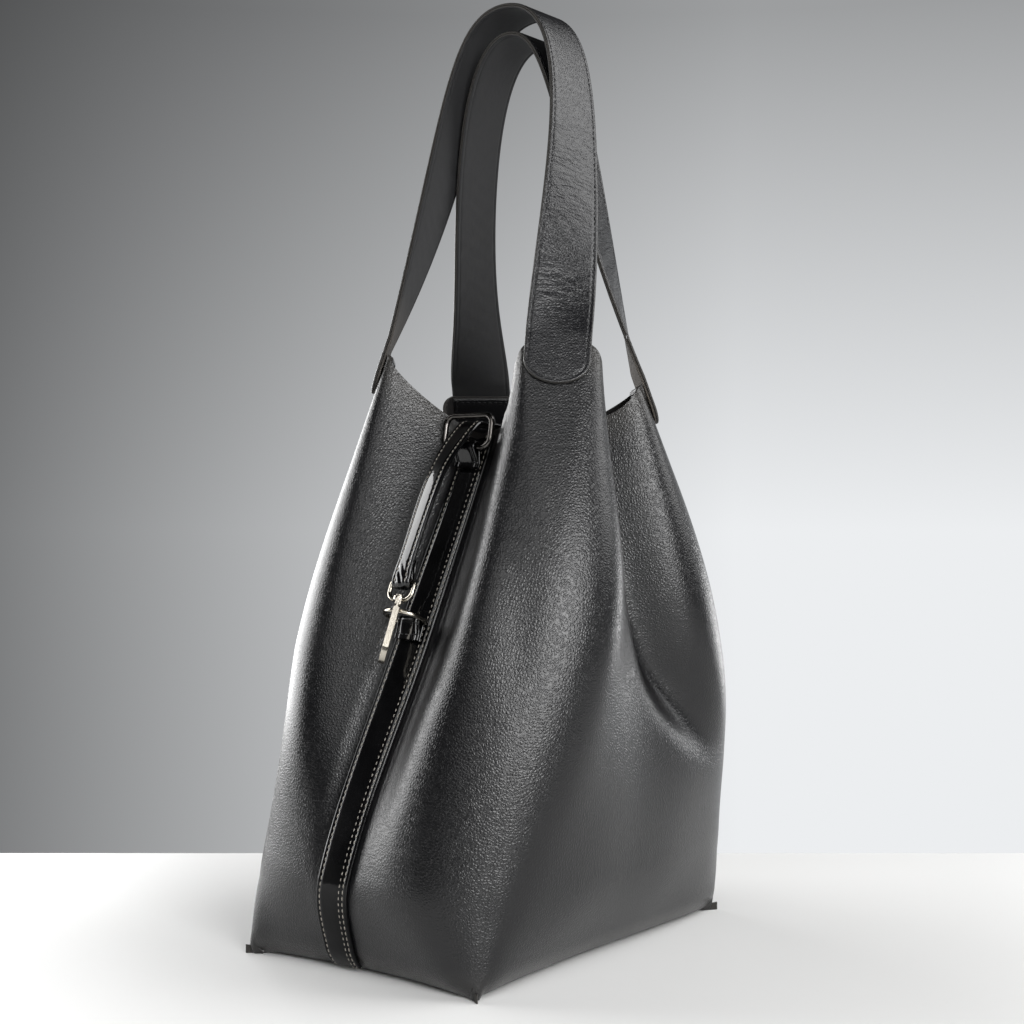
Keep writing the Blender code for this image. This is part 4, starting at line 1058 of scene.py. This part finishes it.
def fold_tab(name, node, bar, wire):
    """Tab from its tail under the bar, round the bar and back to its tail."""
    drop = 0.0
    for _ in range(4):
        place, out, down = seam_ways(bar[2] - drop)
        drop = (bar - place) @ out * out[2]
    levels = place[2] - np.linspace(0, TAB_TAIL, 3)
    share = seam_share(levels)
    spots = beside_seam(0.0, share, np.array((-TAB_WIDTH / 2, 0.0, TAB_WIDTH / 2)))
    seat = ((skin(spots, share[:, None], STRIP_LIFT + STRIP_THICKNESS) - place) @ out).max() + FIT
    under = seat + FIT + TAB_THICKNESS / 2
    over = under + TAB_THICKNESS + FIT
    bend = arc(bar, wire / 2 + FIT + TAB_THICKNESS / 2, down, out, -90, -300, 30)
    tail = np.linspace(TAB_TAIL, TAB_TAIL * TAB_HELD, 8)[:, None] * down
    path = np.concatenate((place + tail + out * under, bend, place + tail[::-1] + out * over))
    twist = np.repeat((TAB_TWIST, 0.0, -TAB_TWIST), (len(tail), len(bend), len(tail)))
    tab = ribbon(name, path, np.full(len(path), TAB_WIDTH), TAB_THICKNESS, STITCH_INSET, PATENT, twist=twist)
    half = TAB_WIDTH / 2 - STITCH_INSET
    top = place + out * (over + TAB_THICKNESS / 2)
    side = ACROSS * math.cos(TAB_TWIST) - out * math.sin(TAB_TWIST)
    first, last = TAB_TAIL * TAB_HELD, TAB_TAIL - STITCH_INSET
    box = [top + side * o + down * d for o, d in ((-half, first), (-half, last), (half, last), (half, first))]
    stitches = sew(name + "_stitches", [box], BLACK_THREAD, TAB_PITCH)
    for piece in (tab, stitches):
        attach(piece, "bag")
    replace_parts(tab, node)


fold_tab("slot_ring_fold", "slot_ring_tab", slot_bar, SLOT_WIRE)
fold_tab("d_ring_fold", "d_ring_tab", d_bar, D_WIRE)

# Snap hook: cast and plated, with a bent wire eye on a turned barrel, a swivel post, and a sprung gate.
# The hook, gate, post and pin keep the forms of their solids, with the sharp edges tumbled round.
EYE_WIRE = 0.0024
EYE_INNER_WIDTH = 0.0130
EYE_INNER_HEIGHT = 0.0072
EYE_FOOT_CORNER = 0.0042
EYE_HEAD_CORNER = 0.0016
BARREL_LOW = -0.0049
BARREL_LENGTH = 0.0026
BARREL_RADIUS = 0.0032
BARREL_CHAMFER = 0.0004
POST_HOLE = 0.0013
BARREL_EDGE = math.radians(40)
CAST_EDGE = math.radians(35)


def turned(name, profile, centre, axis, finish, count=40):
    """Closed profile of radius and distance pairs, turned round an axis."""
    u = unit(np.cross(axis, ACROSS))
    v = np.cross(axis, u)
    angle = np.linspace(0, 2 * math.pi, count, endpoint=False)[:, None, None]
    radius, level = np.array(profile).T
    radius, level = radius[None, :, None], level[None, :, None]
    points = centre + (u * np.cos(angle) + v * np.sin(angle)) * radius + axis * level
    spot = np.arange(points[..., 0].size).reshape(points.shape[:2])
    side, along = np.roll(spot, -1, 0), np.roll(spot, -1, 1)
    faces = np.stack((spot, along, np.roll(side, -1, 1), side), -1).reshape(-1, 4)
    mesh = bpy.data.meshes.new(name)
    mesh.from_pydata(points.reshape(-1, 3), [], faces.tolist())
    mesh.shade_smooth()
    mesh.set_sharp_from_angle(angle=BARREL_EDGE)
    return new_piece(name, mesh, finish)


def tumbled(name, node, body, width):
    """Copy of a cast solid with its sharp edges rounded."""
    mesh = frame["nodes"][node].data.copy()
    mesh.name = name
    work = bmesh.new()
    work.from_mesh(mesh)
    bmesh.ops.remove_doubles(work, verts=work.verts, dist=1e-6)
    bmesh.ops.dissolve_limit(work, angle_limit=math.radians(1), verts=work.verts, edges=work.edges)
    work.to_mesh(mesh)
    work.free()
    mesh.materials.clear()
    mesh.shade_smooth()
    mesh.set_sharp_from_angle(angle=CAST_EDGE)
    piece = new_piece(name, mesh, NICKEL)
    soften_edges(piece, width, angle=CAST_EDGE)
    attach(piece, body)
    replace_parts(piece, node)


barrel_top = BARREL_LOW - BARREL_LENGTH
eye_low = (BARREL_LOW + barrel_top) / 2
eye_high = eye_low - EYE_INNER_HEIGHT - EYE_WIRE
eye_ends = [hook + seam_down * eye_low + ACROSS * (way * (POST_HOLE + BARREL_RADIUS) / 2) for way in (1, -1)]
eye_line = rounded_line(hook, ACROSS, -seam_down, (EYE_INNER_WIDTH + EYE_WIRE) / 2, -eye_low, -eye_high,
                        EYE_FOOT_CORNER, EYE_HEAD_CORNER)
hook_eye = grow("hook_eye_wire", [[eye_ends[0], *eye_line, eye_ends[1]]], WIRE,
                {"Diameter": EYE_WIRE, "Plate": NICKEL})
shoulder = BARREL_RADIUS - BARREL_CHAMFER
barrel = turned("hook_barrel", ((POST_HOLE, barrel_top), (shoulder, barrel_top),
                                (BARREL_RADIUS, barrel_top + BARREL_CHAMFER),
                                (BARREL_RADIUS, BARREL_LOW - BARREL_CHAMFER), (shoulder, BARREL_LOW),
                                (POST_HOLE, BARREL_LOW)), hook, seam_down, NICKEL)
work = bmesh.new()
work.from_mesh(hook_eye.data)
work.from_mesh(barrel.data)
work.to_mesh(hook_eye.data)
work.free()
bpy.data.objects.remove(barrel)
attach(hook_eye, "hook_eye_body")
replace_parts(hook_eye, "hook_eye")
for name, node, body, width in (("hook_casting", "hook_body", "hook_assembly", 0.0006),
                                ("hook_post", "swivel_post", "hook_assembly", 0.0002),
                                ("hook_gate_pin", "gate_pin", "hook_assembly", 0.0001),
                                ("hook_gate_casting", "hook_gate", "gate_body", 0.0003)):
    tumbled(name, node, body, width)

# Closure strap: a patent strap sewn inside the back rim, led over the mouth and through the slot ring.
# Its end is folded round the eye of the snap hook, where the varnish has crumpled.
CLOSURE_WIDTH = 0.014
CLOSURE_END_WIDTH = 0.012
CLOSURE_THICKNESS = 0.0020
CLOSURE_ANCHOR = 0.028
CLOSURE_SAG = 0.003
CLOSURE_BOW = 0.034
CLOSURE_FOLD = 0.012
CLOSURE_PINCH = 0.005
CLOSURE_DOME = 0.0005
CLOSURE_TWIST = math.radians(9.0)
SLOT_PASS_SHARE = 0.62
CLOSURE_CRUMPLE = 0.00025
CLOSURE_PITCH = 0.0030
CLOSURE_THREAD = 0.0006
D_RING_LEVEL = 0.178
LED_STEPS = 14
half_strap = CLOSURE_THICKNESS / 2
anchor_lift = WALL + 2 * FIT + half_strap


def inside_back(below, lift):
    """Point inside the back wall, in the plane of the closure strap, below the rim."""
    share = 1 - below / FRONT_RIM_HEIGHT
    place = wall(2.0, share) - facing_out(wall, 2.0, share) * lift
    return np.array((hook[0], place[1], place[2]))


def smooth_path(points, steps):
    """Points along a curve that passes through all the given ones."""
    ends = [points[0] * 2 - points[1], *points, points[-1] * 2 - points[-2]]
    t = np.linspace(0, 1, steps, endpoint=False)[:, None]
    spans = [bezier((b, b + (c - a) / 6, c - (d - b) / 6, c), t)
             for a, b, c, d in zip(ends, ends[1:], ends[2:], ends[3:])]
    return np.concatenate(spans + [points[-1][None]])


eye_top = pivot["hook_eye_swing"]
wrap = EYE_WIRE / 2 + FIT + half_strap
rim_front, rim_back = wall(0.0, 1.0), wall(2.0, 1.0)
rim_reach = CLOSURE_WIDTH / 2 + abs(hook[0] - rim_front[0]) + FIT
rim_turn = beside_seam(0.0, np.array((1.0,)), np.array((-rim_reach,)))[0, 0]
rim_crossing = rim_height(rim_turn) + half_strap + 2 * FIT
ring_middle = slot_bar + slot_up * ((SLOT_HEIGHT - SLOT_WIRE) * SLOT_PASS_SHARE)
low_run = eye_top + seam_out * wrap - seam_down * CLOSURE_FOLD
bow_place, bow_out, _ = seam_ways((FRONT_RIM_HEIGHT + low_run[2]) / 2)
d_place, d_out, _ = seam_ways(D_RING_LEVEL)
bow = bow_place + bow_out * ((d_bar - d_place) @ d_out + CLOSURE_BOW / 2)
led = smooth_path([inside_back(CLOSURE_ANCHOR, anchor_lift), inside_back(CLOSURE_ANCHOR / 2, anchor_lift),
                   inside_back(WALL, anchor_lift), np.array((0, rim_back[1] / 2, rim_back[2] + CLOSURE_SAG)),
                   np.array((0, 0, rim_front[2] + CLOSURE_SAG)),
                   np.array((0, rim_front[1] + WALL / 2, rim_crossing)), ring_middle, bow, low_run,
                   eye_top + seam_out * wrap], LED_STEPS)
fold_end = low_run - seam_out * (CLOSURE_THICKNESS + FIT)
tucked = smooth_path([eye_top - seam_out * wrap - seam_down * half_strap,
                      fold_end + seam_down * CLOSURE_PINCH, fold_end], 6)
path = np.concatenate((led, arc(eye_top, wrap, seam_out, seam_down, 10, 180, 24), tucked))
path[:, 0] = hook[0]
# Steps along the strap, where it narrows and crumples before the eye, and domes and twists below the ring
step = np.arange(len(path))
to_eye = step - len(led)
at_ring, at_bow, at_fold = 6 * LED_STEPS, 7 * LED_STEPS, 8 * LED_STEPS
widths = CLOSURE_WIDTH + (CLOSURE_END_WIDTH - CLOSURE_WIDTH) * smooth_step(-28, -14, to_eye)
crumple = CLOSURE_CRUMPLE * smooth_step(-22, -8, to_eye)
below_ring = smooth_step(at_ring + 4, at_bow, step)
twist = CLOSURE_TWIST * below_ring * (1 - smooth_step(at_bow + 8, at_fold + 10, step))
dome = CLOSURE_DOME * below_ring
closure = ribbon("closure_band", path, widths, CLOSURE_THICKNESS, STITCH_INSET, PATENT, crumple, dome, twist)
side, face = ribbon_ways(path, twist)
row_reach = 1 - 2 * STITCH_INSET / widths[:, None]
rows = [(path + face * (half_strap + dome[:, None] * (1 - row_reach ** 2) - GROOVE_DEPTH / 2)
         + side * (way * widths[:, None] / 2 * row_reach))[:len(led)] for way in (-1, 1)]
closure_stitches = sew("closure_band_stitches", rows, PALE_THREAD, CLOSURE_PITCH, CLOSURE_THREAD)
patch_lift = anchor_lift + half_strap + FIT + PATCH_THICKNESS / 2
patch_path = np.array([inside_back(CLOSURE_ANCHOR * part, patch_lift) for part in np.linspace(1.2, 0.6, 14)])
anchor_patch = ribbon("closure_anchor", patch_path, np.full(len(patch_path), STRIP_WIDTH), PATCH_THICKNESS,
                      STITCH_INSET, BODY_LEATHER)
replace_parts(closure, "closure_strap")
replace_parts(anchor_patch, "closure_anchor_patch")
for piece, finish in ((closure, "patent_leather"), (closure_stitches, "patent_leather"),
                      (anchor_patch, "body_leather")):
    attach(piece, "bag")

# Table, light and camera: a pale table top under a grey graded backdrop, as in a small studio.
# The main softbox stands to the left, a second one behind the camera to its right.
TABLE_BEHIND = 0.22
TABLE_REACH = 2.0
TABLE_THICKNESS = 0.03
VIEW_TURN = math.radians(37.1)
CAMERA_PLACE = (0.5888, -0.7659, 0.238)
SENSOR_MM, LENS_MM = 36, 59.77
LAMP_AIM = Vector((0, 0, 0.2))
to_view = Matrix.Rotation(VIEW_TURN, 3, "Z")
table = bpy.data.meshes.new("table_top")
table_mesh = bmesh.new()
for z in (0, -TABLE_THICKNESS):
    for x in (-TABLE_REACH, TABLE_REACH):
        for y in (-TABLE_REACH, TABLE_BEHIND):
            table_mesh.verts.new(to_view @ Vector((x, y, z)))
bmesh.ops.convex_hull(table_mesh, input=table_mesh.verts)
table_mesh.to_mesh(table)
table_mesh.free()
laminate, tree, shader, _ = new_finish("matt_white_laminate")
feed(tree, shader, {"Base Color": tint("#ececeb"), "Roughness": 0.55})
table_top = new_piece("table_top", table, laminate)

# The backdrop brightens to the right and darkens upwards. What the bag mirrors of it also fades overhead and
# behind the camera, where a studio is dark.
world = bpy.data.worlds.new("graded_backdrop")
bpy.context.scene.world = world
world.use_nodes = True
sky = world.node_tree
sky.nodes.clear()
gaze = add(sky, "ShaderNodeTexCoord", {}).outputs["Generated"]
rightwards = (math.cos(VIEW_TURN), math.sin(VIEW_TURN), 0)
ahead = (-math.sin(VIEW_TURN), math.cos(VIEW_TURN), 0)
upwards = (0, 0, 1)
shown = []
for axis, low, high, first, last in ((rightwards, -0.29, 0.13, 0.24, 1.0), (upwards, -0.01, 0.28, 1.0, 0.40),
                                     (upwards, 0.26, 0.42, 1.0, 0.06), (ahead, 0.0, 0.7, 0.03, 1.0)):
    along = add(sky, "ShaderNodeVectorMath", {0: gaze, 1: axis}, operation="DOT_PRODUCT")
    fade = add(sky, "ShaderNodeMapRange", {"Value": along.outputs["Value"], "From Min": low, "From Max": high,
                                           "To Min": first, "To Max": last}).outputs[0]
    if shown:
        fade = add(sky, "ShaderNodeMath", {0: shown[-1], 1: fade}, operation="MULTIPLY").outputs[0]
    shown.append(fade)
seen = add(sky, "ShaderNodeLightPath", {})
strength = add(sky, "ShaderNodeMix", {"Factor": seen.outputs["Is Camera Ray"], "A": shown[3], "B": shown[1]},
               data_type="FLOAT")
backdrop = add(sky, "ShaderNodeBackground", {"Color": tint("#eceef0"),
                                             "Strength": strength.outputs["Result"]})
add(sky, "ShaderNodeOutputWorld", {"Surface": backdrop.outputs[0]})


def softbox(name, right, back, up, width, height, power):
    """Soft panel light, placed from the middle of the bag by the camera's own sides, aimed at the bag."""
    lamp = bpy.data.lights.new(name, "AREA")
    lamp.shape = "RECTANGLE"
    lamp.size = width
    lamp.size_y = height
    lamp.energy = power
    panel = bpy.data.objects.new(name, lamp)
    panel.location = to_view @ Vector((right, back, up))
    panel.rotation_euler = (LAMP_AIM - panel.location).to_track_quat("-Z", "Y").to_euler()
    bpy.context.scene.collection.objects.link(panel)


# Places to the right, to the back and up, width and height in metres, and watts
softbox("left_softbox", -1.20, 0.37, 0.56, 0.75, 1.1, 14)
softbox("back_left_panel", -0.84, 1.00, 0.36, 0.9, 0.68, 11)
softbox("right_softbox", 0.58, -1.38, 0.56, 0.65, 0.7, 18)
softbox("right_reflector", 0.75, 0.72, 0.14, 0.4, 0.26, 1.5)
softbox("front_fill", -0.3, -1.3, 0.95, 1.0, 0.8, 5)
softbox("top_softbox", 1.3, 0.0, 1.2, 1.4, 1.4, 23)

camera = bpy.data.objects.new("camera", bpy.data.cameras.new("camera"))
camera.data.sensor_width = SENSOR_MM
camera.data.lens = LENS_MM
camera.location = CAMERA_PLACE
camera.rotation_euler = (math.pi / 2, 0, VIEW_TURN)
bpy.context.scene.collection.objects.link(camera)
bpy.context.scene.camera = camera
bpy.context.scene.view_settings.view_transform = "Standard"
